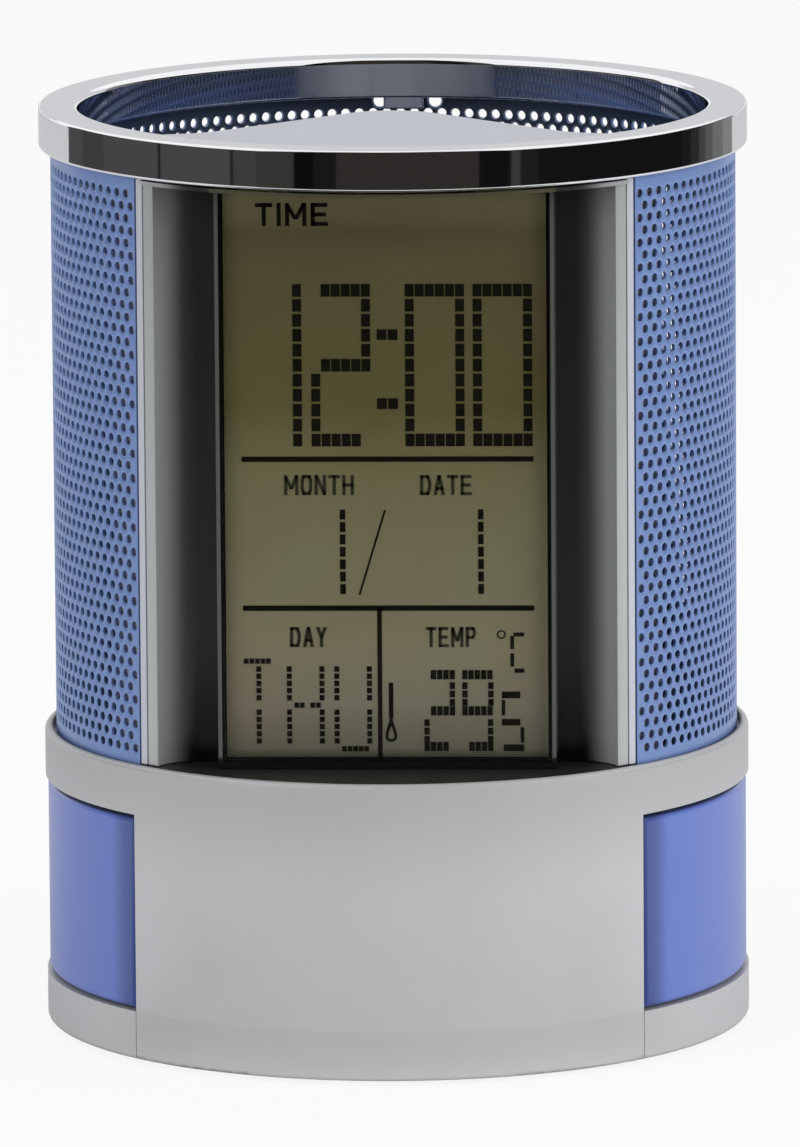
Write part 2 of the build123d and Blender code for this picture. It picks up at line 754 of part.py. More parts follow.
# Base tray: floor, side rims, the cell compartment and the way for its door
lip_end = sqrt(base_inner**2 - wing_half**2) - wall
door_front = box_half_y + door_gap
foot_places = [(east * foot_x, north * foot_y) for east in (-1, 1) for north in (-1, 1)]
with BuildPart() as base_tray:
    with BuildSketch(Plane.XY.offset(foot_proud)):
        Circle(base_inner - seat_gap)
    extrude(amount=wall)
    with BuildSketch(Plane.XY.offset(foot_proud)):
        Circle(body_radius)
        Circle(base_inner - wall, mode=Mode.SUBTRACT)
        add(tray_slice, mode=Mode.INTERSECT)
    extrude(amount=wall)
    with BuildSketch(Plane.XY.offset(foot_proud)):
        Circle(body_radius)
        Circle(base_inner, mode=Mode.SUBTRACT)
        add(tray_slice, mode=Mode.INTERSECT)
    extrude(amount=tray_rim_height)
    low_edges = base_tray.edges().group_by(Axis.Z)[0].filter_by(GeomType.CIRCLE)
    fillet(low_edges.sort_by(SortBy.LENGTH)[-1], lower_edge)
    # Compartment for the cells
    with BuildSketch(Plane.XY.offset(foot_proud)):
        Rectangle(2 * (box_half_x + box_wall), 2 * (box_half_y + box_wall))
    extrude(amount=box_top + thin_wall - foot_proud)
    with BuildSketch(Plane.XY.offset(foot_proud)):
        Rectangle(2 * box_half_x, 2 * box_half_y)
    extrude(amount=box_top - foot_proud, mode=Mode.SUBTRACT)
    # Way for the door: its wings run above two lips, and it leaves at the back
    with BuildSketch(Plane.XY.offset(foot_proud)):
        with Locations((0, (far_reach - door_front) / 2)):
            Rectangle(2 * (opening_half + door_gap), far_reach + door_front)
    extrude(amount=wall + seat_gap, mode=Mode.SUBTRACT)
    with BuildSketch(Plane.XY.offset(foot_proud + door_layer)):
        with Locations((0, (far_reach - door_front - door_wing) / 2)):
            Rectangle(2 * (wing_half + door_gap), far_reach + door_front + door_wing)
    extrude(amount=wall - door_layer + seat_gap, mode=Mode.SUBTRACT)
    with BuildSketch(Plane.XY.offset(foot_proud)):
        with Locations((0, (far_reach + lip_end) / 2)):
            Rectangle(2 * (wing_half + door_gap), far_reach - lip_end)
    extrude(amount=tray_rim_height, mode=Mode.SUBTRACT)
    # Slots for the tabs of the rear contacts
    with BuildSketch(Plane.XY.offset(tab_level - seat_gap)):
        with Locations(*[(side * cell_x, box_half_y + box_wall / 2) for side in (-1, 1)]):
            Rectangle(tab_width + 2 * running_gap, box_wall + 2 * seat_gap)
    extrude(amount=contact_sheet + 2 * seat_gap, mode=Mode.SUBTRACT)
    # Screw bosses with sunk heads, and seats for the feet
    with BuildSketch(Plane.XY.offset(foot_proud)):
        with Locations(*post_places):
            Circle(screw_head + wall)
    extrude(amount=wall + screw_boss_height)
    with BuildSketch(Plane.XY.offset(foot_proud)):
        with Locations(*post_places):
            Circle(screw_head + running_gap)
    extrude(amount=screw_boss_height, mode=Mode.SUBTRACT)
    with BuildSketch(Plane.XY.offset(foot_proud)):
        with Locations(*post_places):
            Circle(screw_shank + running_gap)
    extrude(amount=wall + screw_boss_height, mode=Mode.SUBTRACT)
    with BuildSketch(Plane.XY.offset(foot_proud)):
        with Locations(*foot_places):
            Circle(foot_radius + seat_gap)
    extrude(amount=foot_height - foot_proud, mode=Mode.SUBTRACT)
base_tray.part.label = "base_tray"
export_step(base_tray.part, "parts/base_tray.step")

# Sliding door under the cells, with a piece of the rim at its rear end
grip_pitch = 2.5
grip_depth = 0.4
grip_length = 12.0
grip_count = 5
grip_y = 24.0
with BuildPart() as battery_door:
    with BuildSketch(Plane.XY.offset(foot_proud)):
        with Locations((0, (body_radius - box_half_y) / 2)):
            Rectangle(2 * opening_half, body_radius + box_half_y)
    extrude(amount=door_layer + seat_gap)
    with BuildSketch(Plane.XY.offset(foot_proud + door_layer + seat_gap)):
        with Locations((0, (lip_end - box_half_y - door_wing) / 2)):
            Rectangle(2 * wing_half, lip_end + box_half_y + door_wing)
    extrude(amount=door_top - foot_proud - door_layer - seat_gap)
    with BuildSketch(Plane.XY.offset(foot_proud)):
        with Locations((0, (body_radius + lip_end + door_gap) / 2)):
            Rectangle(2 * wing_half, body_radius - lip_end - door_gap)
    extrude(amount=tray_rim_height - seat_gap)
    with BuildSketch(Plane.XY.offset(foot_proud)):
        Circle(body_radius)
    extrude(amount=tray_rim_height, mode=Mode.INTERSECT)
    low_edges = battery_door.edges().group_by(Axis.Z)[0].filter_by(GeomType.CIRCLE)
    fillet(low_edges.sort_by(Axis.Y)[-1], lower_edge)
    with BuildSketch(Plane.XY.offset(door_top)):
        Circle(base_inner)
    extrude(amount=tray_rim_height, mode=Mode.SUBTRACT)
    # Finger grips pressed into the underside
    with BuildSketch(Plane.XY.offset(foot_proud)):
        with Locations((0, grip_y)):
            with GridLocations(0, grip_pitch, 1, grip_count):
                SlotOverall(grip_length, grip_pitch / 2)
    extrude(amount=grip_depth, mode=Mode.SUBTRACT)
battery_door.part.label = "battery_door"
export_step(battery_door.part, "parts/battery_door.step")

# Coloured panels that snap into the sides of the base
for name, side in (("side_panel_right", 1), ("side_panel_left", -1)):
    panel_slice = slice_face(*sorted((side * panel_start, side * panel_stop)))
    bearings = [bearing for bearing in peg_bearings if bearing * side > 0]
    with BuildPart() as side_panel:
        with BuildSketch(Plane.XY.offset(panel_low)):
            Circle(panel_outer)
            Circle(panel_inner, mode=Mode.SUBTRACT)
            add(panel_slice, mode=Mode.INTERSECT)
        extrude(amount=panel_high - panel_low)
        outer_face = side_panel.faces().filter_by(GeomType.CYLINDER).sort_by(SortBy.AREA)[-1]
        fillet(outer_face.edges(), panel_edge)
        # Pegs through the backing wall
        for bearing in bearings:
            for level in peg_levels:
                with BuildSketch(side_plane(panel_inner - panel_peg_length, bearing, level)):
                    Circle(panel_peg_radius)
                extrude(amount=panel_peg_length + panel_thickness / 2)
    side_panel.part.label = name
    export_step(side_panel.part, f"parts/{name}.step")

# Screws that hold the tray to the posts
screw_seat = foot_proud + screw_boss_height
with BuildPart() as base_screws:
    with BuildSketch(Plane.XY.offset(screw_seat - screw_head_height)):
        with Locations(*post_places):
            Circle(screw_head)
    extrude(amount=screw_head_height)
    with BuildSketch(Plane.XY.offset(screw_seat)):
        with Locations(*post_places):
            Circle(screw_shank)
    extrude(amount=wall + post_pilot_depth)
base_screws.part.label = "base_screws"
export_step(base_screws.part, "parts/base_screws.step")

# Screws that hold the clock to the deck
with BuildPart() as module_screws:
    with BuildSketch(Plane.XY.offset(deck_bottom - small_head_height)):
        with Locations(*module_places):
            Circle(small_head)
    extrude(amount=small_head_height)
    with BuildSketch(Plane.XY.offset(deck_bottom)):
        with Locations(*module_places):
            Circle(small_shank)
    extrude(amount=deck_thickness + module_pilot_depth)
module_screws.part.label = "module_screws"
export_step(module_screws.part, "parts/module_screws.step")

# Foam feet
with BuildPart() as foot_pads:
    with BuildSketch():
        with Locations(*foot_places):
            Circle(foot_radius)
    extrude(amount=foot_height)
foot_pads.part.label = "foot_pads"
export_step(foot_pads.part, "parts/foot_pads.step")

# Two cells side by side, turned opposite ways
for name, side in (("battery_right", 1), ("battery_left", -1)):
    body_front = cell_front + (nub_length if side > 0 else 0)
    with BuildPart() as battery:
        with BuildSketch(Plane.XZ.offset(-body_front)):
            with Locations((side * cell_x, cell_level)):
                Circle(cell_radius)
        extrude(amount=-(cell_length - nub_length))
        with BuildSketch(Plane.XZ.offset(-cell_front)):
            with Locations((side * cell_x, cell_level)):
                Circle(nub_radius)
        extrude(amount=-cell_length)
    battery.part.label = name
    export_step(battery.part, f"parts/{name}.step")

# Front contact: one plate with a spring cone for each cell
contact_height = box_top - door_top - 2 * running_gap
contact_level = (box_top + door_top) / 2
front_plate = box_half_y - seat_gap - contact_sheet
with BuildPart() as battery_link:
    with BuildSketch(Plane.XZ.offset(front_plate)):
        with Locations((0, contact_level)):
            Rectangle(2 * (box_half_x - running_gap), contact_height)
    extrude(amount=contact_sheet)
    for side in (-1, 1):
        with BuildSketch(Plane.XZ.offset(front_plate)):
            with Locations((side * cell_x, cell_level)):
                Circle(cell_radius - door_wing)
        with BuildSketch(Plane.XZ.offset(front_plate - spring_length)):
            with Locations((side * cell_x, cell_level)):
                Circle(nub_radius)
        loft()
battery_link.part.label = "battery_link"
export_step(battery_link.part, "parts/battery_link.step")

# Rear contacts: a plate for each cell, with a dimple and a tab to the key board
with BuildPart() as battery_terminals:
    for side in (-1, 1):
        with BuildSketch(Plane.XZ.offset(-(box_half_y - seat_gap))):
            with Locations((side * cell_x, contact_level)):
                Rectangle(2 * (cell_radius - running_gap), contact_height)
        extrude(amount=contact_sheet)
        with BuildSketch(Plane.XZ.offset(-front_plate)):
            with Locations((side * cell_x, cell_level)):
                Circle(nub_radius + dimple_length)
        with BuildSketch(Plane.XZ.offset(-(front_plate - dimple_length))):
            with Locations((side * cell_x, cell_level)):
                Circle(nub_radius)
        loft()
        with BuildSketch(Plane.XY.offset(tab_level)):
            with Locations((side * cell_x, (front_plate + key_board_back) / 2)):
                Rectangle(tab_width, key_board_back - front_plate)
        extrude(amount=contact_sheet)
battery_terminals.part.label = "battery_terminals"
export_step(battery_terminals.part, "parts/battery_terminals.step")

# Key board in its rails
with BuildPart() as key_board:
    with BuildSketch(Plane.XZ.offset(-key_board_back)):
        with Locations((0, key_level)):
            Rectangle(2 * key_board_half, key_board_height)
    extrude(amount=-board_thickness)
key_board.part.label = "key_board"
export_step(key_board.part, "parts/key_board.step")

# Switches on the key board
with BuildPart() as key_switches:
    with BuildSketch(Plane.XZ.offset(-key_board_face)):
        with Locations(*key_spots):
            Rectangle(2 * switch_half, 2 * switch_half)
    extrude(amount=-switch_height)
    with BuildSketch(Plane.XZ.offset(-(key_board_face + switch_height))):
        with Locations(*key_spots):
            Circle(switch_plunger)
    extrude(amount=-switch_plunger_height)
key_switches.part.label = "key_switches"
export_step(key_switches.part, "parts/key_switches.step")

# Keys: a cap, a flange that keeps it in the wall and a stem to its switch
for name, place in zip(key_names, key_places):
    with BuildPart() as key:
        with BuildSketch(Plane.XZ.offset(-flange_back)):
            with Locations((place, key_level)):
                Circle(key_radius)
        extrude(amount=-(pocket_face + key_proud - flange_back))
        fillet(key.edges().group_by(Axis.Y)[-1], key_edge)
        with BuildSketch(Plane.XZ.offset(-flange_back)):
            with Locations((place, key_level)):
                Circle(key_flange)
        extrude(amount=-key_flange_thickness)
        with BuildSketch(Plane.XZ.offset(-stem_tip)):
            with Locations((place, key_level)):
                Circle(key_stem)
        extrude(amount=-key_stem_length)
    key.part.label = name
    export_step(key.part, f"parts/{name}.step")

# Ribbon from the key board, under the deck and up behind the clock board
ribbon_y_rear = key_board_back - seat_gap - ribbon_thickness / 2
ribbon_y_front = -(board_back - seat_gap - ribbon_thickness / 2)
ribbon_level = deck_bottom - running_gap - ribbon_thickness / 2
with BuildPart() as ribbon_cable:
    with BuildSketch(Plane.YZ.offset(-ribbon_width / 2)):
        with BuildLine() as ribbon_path:
            FilletPolyline(
                (ribbon_y_rear, key_level),
                (ribbon_y_rear, ribbon_level),
                (ribbon_y_front, ribbon_level),
                (ribbon_y_front, board_low + ribbon_end),
                radius=ribbon_bend,
            )
        trace(ribbon_path.edges(), line_width=ribbon_thickness)
    extrude(amount=ribbon_width)
ribbon_cable.part.label = "ribbon_cable"
export_step(ribbon_cable.part, "parts/ribbon_cable.step")

# Sounder disc on the roof of the cell compartment
buzzer_seat = box_top + thin_wall
with BuildPart() as buzzer:
    with BuildSketch(Plane.XY.offset(buzzer_seat)):
        Circle(buzzer_radius)
    extrude(amount=buzzer_plate)
    with BuildSketch(Plane.XY.offset(buzzer_seat + buzzer_plate)):
        Circle(buzzer_disc)
    extrude(amount=buzzer_plate)
buzzer.part.label = "buzzer"
export_step(buzzer.part, "parts/buzzer.step")

# Leads from the sounder to the key board
lead_start = buzzer_seat + 2 * buzzer_plate + lead_radius
lead_level = key_level + key_board_height / 4
with BuildPart() as buzzer_leads:
    for side in (-1, 1):
        lead_x = side * (ribbon_width / 2 + lead_spread)
        with BuildLine():
            lead_path = FilletPolyline(
                (side * lead_spread, 0, lead_start),
                (side * lead_spread, buzzer_disc, lead_start),
                (lead_x, (buzzer_disc + key_board_back) / 2, lead_level),
                (lead_x, key_board_back - seat_gap, lead_level),
                radius=lead_bend,
            )
        with BuildSketch(Plane(origin=lead_path @ 0, z_dir=lead_path % 0)):
            Circle(lead_radius)
        sweep(path=lead_path)
buzzer_leads.part.label = "buzzer_leads"
export_step(buzzer_leads.part, "parts/buzzer_leads.step")
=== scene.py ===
import json
from math import cos, pi, radians, sin, sqrt

import bmesh
import bpy
from mathutils import Matrix, Vector


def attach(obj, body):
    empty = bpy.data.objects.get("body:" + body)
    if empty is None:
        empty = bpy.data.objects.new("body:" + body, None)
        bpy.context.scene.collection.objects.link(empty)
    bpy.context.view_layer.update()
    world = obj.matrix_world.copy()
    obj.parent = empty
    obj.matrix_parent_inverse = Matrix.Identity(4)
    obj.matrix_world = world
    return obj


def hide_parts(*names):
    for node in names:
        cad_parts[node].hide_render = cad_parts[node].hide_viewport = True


# Pen holder clock: finishes, the holes of the sheet, the figures of the display, and the studio round it.
# Lengths are in millimetres and angles in degrees, unless a note says otherwise.
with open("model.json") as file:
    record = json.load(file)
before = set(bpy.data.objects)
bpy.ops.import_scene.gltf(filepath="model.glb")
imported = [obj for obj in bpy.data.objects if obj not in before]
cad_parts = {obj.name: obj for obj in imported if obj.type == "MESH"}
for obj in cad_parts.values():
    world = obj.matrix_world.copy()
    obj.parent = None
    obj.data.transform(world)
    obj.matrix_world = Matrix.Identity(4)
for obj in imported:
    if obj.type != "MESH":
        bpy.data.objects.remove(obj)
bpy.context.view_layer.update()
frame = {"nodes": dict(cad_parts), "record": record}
mm = 0.001


def linearColour(hexText):
    parts = [int(hexText[i:i + 2], 16) / 255 for i in (1, 3, 5)]
    return (*[p / 12.92 if p <= 0.04045 else ((p + 0.055) / 1.055) ** 2.4 for p in parts], 1.0)


# Adds a node with its settings, its values and the links into it
def addNode(tree, kind, settings=None, values=None, links=None):
    node = tree.nodes.new(kind)
    for name, value in (settings or {}).items():
        setattr(node, name, value)
    for name, value in (values or {}).items():
        node.inputs[name].default_value = value
    for name, source in (links or {}).items():
        tree.links.new(source, node.inputs[name])
    return node


# A new material and its Principled shader, with constants on the shader's own sockets
def startMaterial(name, values):
    material = bpy.data.materials.new(name)
    material.use_nodes = True
    tree = material.node_tree
    shader = tree.nodes["Principled BSDF"]
    for key, value in values.items():
        shader.inputs[key].default_value = value
    return material, tree, shader


# Grain on a surface: fine bump, and a slow drift between two tones and two roughnesses
def addGrain(tree, shader, size, height, tones=None, drift=8.0, roughness=None):
    place = addNode(tree, "ShaderNodeTexCoord")
    grain = addNode(tree, "ShaderNodeTexNoise", values={"Scale": 1 / (size * mm), "Detail": 3.0},
                    links={"Vector": place.outputs["Object"]})
    bump = addNode(tree, "ShaderNodeBump", values={"Strength": 1.0, "Distance": height * mm},
                   links={"Height": grain.outputs["Fac"]})
    tree.links.new(bump.outputs["Normal"], shader.inputs["Normal"])
    patches = addNode(tree, "ShaderNodeTexNoise", values={"Scale": 1 / (drift * mm), "Detail": 4.0},
                      links={"Vector": place.outputs["Object"]})
    if tones:
        blend = addNode(tree, "ShaderNodeMix", {"data_type": "RGBA"},
                        links={"Factor": patches.outputs["Fac"]})
        blend.inputs[6].default_value = linearColour(tones[0])
        blend.inputs[7].default_value = linearColour(tones[1])
        tree.links.new(blend.outputs[2], shader.inputs["Base Color"])
    if roughness:
        spread = addNode(tree, "ShaderNodeMapRange", values={"To Min": roughness[0], "To Max": roughness[1]},
                         links={"Value": patches.outputs["Fac"]})
        tree.links.new(spread.outputs["Result"], shader.inputs["Roughness"])
    return place


# Blends the base colour to another tone where a measure passes from one place to the next
def addBand(tree, shader, measure, start, end, tone):
    share = addNode(tree, "ShaderNodeMapRange", {"interpolation_type": "SMOOTHSTEP"},
                    {"From Min": start * mm, "From Max": end * mm}, {"Value": measure})
    blend = addNode(tree, "ShaderNodeMix", {"data_type": "RGBA"}, links={"Factor": share.outputs["Result"]})
    before = shader.inputs["Base Color"].links
    if before:
        tree.links.new(before[0].from_socket, blend.inputs[6])
    else:
        blend.inputs[6].default_value = shader.inputs["Base Color"].default_value
    blend.inputs[7].default_value = linearColour(tone)
    tree.links.new(blend.outputs[2], shader.inputs["Base Color"])


# How far a point of the surface lies from the cup's axis
def addRadius(tree, place):
    flat = addNode(tree, "ShaderNodeVectorMath", {"operation": "MULTIPLY"}, {1: (1, 1, 0)},
                   {0: place.outputs["Object"]})
    radius = addNode(tree, "ShaderNodeVectorMath", {"operation": "LENGTH"}, links={0: flat.outputs["Vector"]})
    return radius.outputs["Value"]


# How far it lies from the origin along one axis, either way
def addAxis(tree, place, axis):
    split = addNode(tree, "ShaderNodeSeparateXYZ", links={"Vector": place.outputs["Object"]})
    distance = addNode(tree, "ShaderNodeMath", {"operation": "ABSOLUTE"}, links={0: split.outputs[axis]})
    return distance.outputs["Value"]


# Its height where it lies inside a radius, and nought outside it
def addHeightInside(tree, place, outer, inner):
    inside = addNode(tree, "ShaderNodeMapRange", {"interpolation_type": "SMOOTHSTEP"},
                     {"From Min": outer * mm, "From Max": inner * mm}, {"Value": addRadius(tree, place)})
    height = addNode(tree, "ShaderNodeMath", {"operation": "MULTIPLY"},
                     links={0: addAxis(tree, place, "Z"), 1: inside.outputs["Result"]})
    return height.outputs["Value"]


# Chrome plate on pressed steel: mirror-bright, with the faint ripple that polishing leaves
def chromePlate():
    material, tree, shader = startMaterial("chromePlate", {"Metallic": 1.0})
    addGrain(tree, shader, size=9.0, height=0.006, tones=("#EFF0F2", "#F4F5F7"), drift=12.0,
             roughness=(0.03, 0.07))
    return material


# Satin blue paint on perforated steel: slight orange peel, a soft sheen on the web between the holes.
# Painted shade: the inner face is painted a darker blue than the outer, and a darker blue grey near the ring.
sheetPaintAndShade = {"outside": ("#6B82B1", "#647BAA"), "inside": "#38568E", "insideRadii": (38.34, 38.24),
              "insideTopShade": (93, 96, "#2B3649")}


def bluePaint():
    material, tree, shader = startMaterial("bluePaintOnSteel", {"Metallic": 0.25, "Coat Weight": 0.2,
                                                                "Coat Roughness": 0.25})
    place = addGrain(tree, shader, size=0.5, height=0.006, tones=sheetPaintAndShade["outside"], drift=6.0,
                     roughness=(0.3, 0.4))
    # Painted shade on the inner face, and darker still near the ring
    addBand(tree, shader, addRadius(tree, place), *sheetPaintAndShade["insideRadii"], sheetPaintAndShade["inside"])
    addBand(tree, shader, addHeightInside(tree, place, *sheetPaintAndShade["insideRadii"]), *sheetPaintAndShade["insideTopShade"])
    return material


# Silver lacquer on the display's surround, with painted reflection and shade: pale strips, coves painted
# dark, and a painted highlight and shadow along the display's rim.
# Each tone blends in between two distances from the centre plane, or between two heights.
surroundPaintAndShade = {
    "strips": ("#B0B3B2", "#A9ACAB"),
    "paintedCoveReflection": [(26.6, 24.9, "#A0A3A2"), (25.3, 22.0, "#3E3F3F"), (22.4, 21.0, "#2D2D2D")],
    "footShadeFade": {"From Min": 21.5 * mm, "From Max": 25.0 * mm, "To Max": 30 * mm},
    "footShade": (50.0, 36.0, "#101010"),
    "rim": [(18.95, 18.9, "#585856"), (18.45, 18.4, "#0C0C0B")],
    "middleHalf": 19.2, "sillShade": (35.6, 35.2, "#171716"), "roof": (99.0, 99.2, "#4E4C3A"),
}


def silverWithPaintedShade():
    material, tree, shader = startMaterial("silverLacquerPaintedShade", {"Metallic": 0.5})
    place = addGrain(tree, shader, size=0.12, height=0.0006, tones=surroundPaintAndShade["strips"], drift=10.0,
                     roughness=(0.26, 0.32))
    aside = addAxis(tree, place, "X")
    level = addAxis(tree, place, "Z")
    # Painted reflection: the coves go from silver at the strips to near black towards the display
    for band in surroundPaintAndShade["paintedCoveReflection"]:
        addBand(tree, shader, aside, *band)
    # Painted shade: the coves darken towards their feet, sooner near the display
    fade = addNode(tree, "ShaderNodeMapRange", values=surroundPaintAndShade["footShadeFade"], links={"Value": aside})
    footShade = addNode(tree, "ShaderNodeMath", {"operation": "ADD"}, links={0: level, 1: fade.outputs["Result"]})
    addBand(tree, shader, footShade.outputs["Value"], *surroundPaintAndShade["footShade"])
    # Painted highlight along the frame's edge, then painted shadow in the step beside the window
    for band in surroundPaintAndShade["rim"]:
        addBand(tree, shader, aside, *band)
    # Across the middle, painted shade makes the sill near black, and painted light gives the roof plate's
    # edge the display's tone
    outside = addNode(tree, "ShaderNodeMath", {"operation": "GREATER_THAN"},
                      {1: surroundPaintAndShade["middleHalf"] * mm}, {0: aside})
    for operation, band in (("ADD", surroundPaintAndShade["sillShade"]), ("SUBTRACT", surroundPaintAndShade["roof"])):
        middle = addNode(tree, "ShaderNodeMath", {"operation": operation},
                         links={0: level, 1: outside.outputs["Value"]})
        addBand(tree, shader, middle.outputs["Value"], *band)
    return material


# Satin silver paint on moulded ABS, as on the base: fine flake that scatters the light evenly.
# Painted shade: the deck in front of the clock and the neck under the sheet are painted dark.
# Painted shade too: the wall darkens a little towards its top, and the lower rim is a shade darker.
basePaint = {"wall": ("#B3B3B4", "#B9B9BA"), "upperWallShade": (20, 34, "#A5A5A6"), "deckShadeRadii": (39.5, 39.3),
             "deckShade": (33.9, 34.05, "#2A2A29"), "lowerRimShade": (6.15, 6.05, "#B1B1B1")}


def satinSilver():
    material, tree, shader = startMaterial("satinSilverPaint", {"Metallic": 0.3})
    place = addGrain(tree, shader, size=0.1, height=0.0012, tones=basePaint["wall"], drift=9.0,
                     roughness=(0.36, 0.44))
    level = addAxis(tree, place, "Z")
    # Painted shade: darker towards the top of the wall, dark on the deck and the neck, a little darker on the
    # lower rim
    addBand(tree, shader, level, *basePaint["upperWallShade"])
    addBand(tree, shader, addHeightInside(tree, place, *basePaint["deckShadeRadii"]), *basePaint["deckShade"])
    addBand(tree, shader, level, *basePaint["lowerRimShade"])
    return material


# Pale silver lacquer on the clock's rear shell, smoother and lighter than the base
def paleSilver():
    material, tree, shader = startMaterial("paleSilverLacquer", {"Metallic": 0.3})
    addGrain(tree, shader, size=0.12, height=0.0008, tones=("#AFB1B8", "#B5B7BE"), drift=12.0,
             roughness=(0.3, 0.38))
    return material


# Satin moulded polystyrene, coloured through, as on the side panels.
# Their edges stand a little behind the base's wall, so they lie in shade.
panelPlastic = {"face": ("#4C60A5", "#5266AB"), "sideEdge": (24.2, 26.6, "#33457E"),
                "topEdge": (27.75, 27.95, "#1C2852")}


def bluePlastic():
    material, tree, shader = startMaterial("satinBluePolystyrene", {"IOR": 1.6, "Coat Weight": 0.3,
                                                                    "Coat Roughness": 0.2})
    place = addGrain(tree, shader, size=0.15, height=0.001, tones=panelPlastic["face"], drift=14.0,
                     roughness=(0.3, 0.37))
    addBand(tree, shader, addAxis(tree, place, "Y"), *panelPlastic["sideEdge"])
    addBand(tree, shader, addAxis(tree, place, "Z"), *panelPlastic["topEdge"])
    return material


# Liquid crystal cell: grey-green polariser over a reflector, a little lighter towards its lower end, with
# painted shade along its lower edge and painted light at its top, where the ring casts its shadow
cellTonesAndPaintedLight = {
    "low": 35, "high": 99, "patchMm": 16, "patchTone": "#F4E2DA",
    # Painted shade at the first stop, painted light at the last
    "stops": [(0.0, "#2A2A22"), (0.02, "#5A594C"), (0.1, "#6A695A"), (0.2, "#6B6A54"), (0.5, "#5F5E44"),
              (0.62, "#4C4B2D"), (0.93, "#4A4831"), (1.0, "#6E6C50")],
}


def lcdGlass():
    material, tree, shader = startMaterial("lcdPolariser", {"Roughness": 0.45, "Specular IOR Level": 0.1})
    place = addNode(tree, "ShaderNodeTexCoord")
    split = addNode(tree, "ShaderNodeSeparateXYZ", links={"Vector": place.outputs["Object"]})
    height = addNode(tree, "ShaderNodeMapRange",
                     values={"From Min": cellTonesAndPaintedLight["low"] * mm, "From Max": cellTonesAndPaintedLight["high"] * mm},
                     links={"Value": split.outputs["Z"]})
    ramp = addNode(tree, "ShaderNodeValToRGB", links={"Fac": height.outputs["Result"]})
    while len(ramp.color_ramp.elements) < len(cellTonesAndPaintedLight["stops"]):
        ramp.color_ramp.elements.new(0.5)
    for element, (position, tone) in zip(ramp.color_ramp.elements, cellTonesAndPaintedLight["stops"]):
        element.position = position
        element.color = linearColour(tone)
    # The polariser's film is not quite even: patches a little browner than the rest
    patches = addNode(tree, "ShaderNodeTexNoise",
                      values={"Scale": 1 / (cellTonesAndPaintedLight["patchMm"] * mm), "Detail": 1.0},
                      links={"Vector": place.outputs["Object"]})
    browned = addNode(tree, "ShaderNodeMix", {"data_type": "RGBA", "blend_type": "MULTIPLY"},
                      links={"Factor": patches.outputs["Fac"]})
    tree.links.new(ramp.outputs["Color"], browned.inputs[6])
    browned.inputs[7].default_value = linearColour(cellTonesAndPaintedLight["patchTone"])
    tree.links.new(browned.outputs[2], shader.inputs["Base Color"])
    return material


# Liquid crystal that is switched on: near black, faintly green. Fine strokes let more of the ground through.
def lcdInk(name, tone):
    return startMaterial(name, {"Roughness": 0.5, "Specular IOR Level": 0.1,
                                "Base Color": linearColour(tone)})[0]


# Clear acrylic window: nearly invisible, with a polished face
def clearAcrylic():
    return startMaterial("clearAcrylic", {"Roughness": 0.03, "IOR": 1.49, "Alpha": 0.05,
                                          "Base Color": linearColour("#0A0B0A")})[0]


# One even tone with a little grain, for the small parts and those inside
def plainFinish(name, tone, roughness, metallic=0.0, size=0.2, height=0.002):
    material, tree, shader = startMaterial(name, {"Metallic": metallic, "Roughness": roughness,
                                                  "Base Color": linearColour(tone)})
    addGrain(tree, shader, size, height)
    return material


finishes = {
    "chrome": chromePlate(),
    "blue_mesh": bluePaint(),
    "bezel_silver": silverWithPaintedShade(),
    "housing_silver": paleSilver(),
    "base_silver": satinSilver(),
    "blue_plastic": bluePlastic(),
    "clear_window": clearAcrylic(),
    "lcd": lcdGlass(),
    # Name, tone and roughness, then metallic, grain size and grain height where they differ
    "zebra_rubber": plainFinish("conductiveRubber", "#C07884", 0.7),
    "white_plastic": plainFinish("whiteAbs", "#D8D8D4", 0.5),
    "circuit_board": plainFinish("solderMask", "#1F6A34", 0.35, 0.0, 0.8, 0.01),
    "steel": plainFinish("zincPlatedSteel", "#A8ABAE", 0.35, 1.0, 0.1, 0.002),
    "black_resin": plainFinish("pottingResin", "#0C0C0C", 0.3, 0.0, 1.5, 0.05),
    "foam": plainFinish("blackFoamRubber", "#1B1B1C", 0.9, 0.0, 0.3, 0.05),
    "cell_wrap": plainFinish("cellWrap", "#2B3140", 0.3, 0.3, 2.0, 0.002),
    "contact_steel": plainFinish("nickelPlatedSpringSteel", "#C9C7BE", 0.28, 1.0, 0.1, 0.001),
    "switch_black": plainFinish("blackNylon", "#141416", 0.5),
    "key_grey": plainFinish("greyAbsKeys", "#4A4B50", 0.42, 0.0, 0.15, 0.002),
    "ribbon": plainFinish("greyPvcRibbon", "#8E9094", 0.5),
    "brass": plainFinish("brassDisc", "#B8923F", 0.3, 1.0),
    "lead_wire": plainFinish("redPvcLead", "#A8201B", 0.45),
}
slotOf = {part["node"]: part["material_slot"] for part in frame["record"]["subparts"]}
print("stage: materials")


# Upright walls: at each corner the neighbouring facets' directions are blended, the narrow ones weighing
# more, so that a wall that is cut into uneven facets still shades as one curve
wallTilt, levelTilt, leastWidth = 0.01, 0.9999, 1e-6


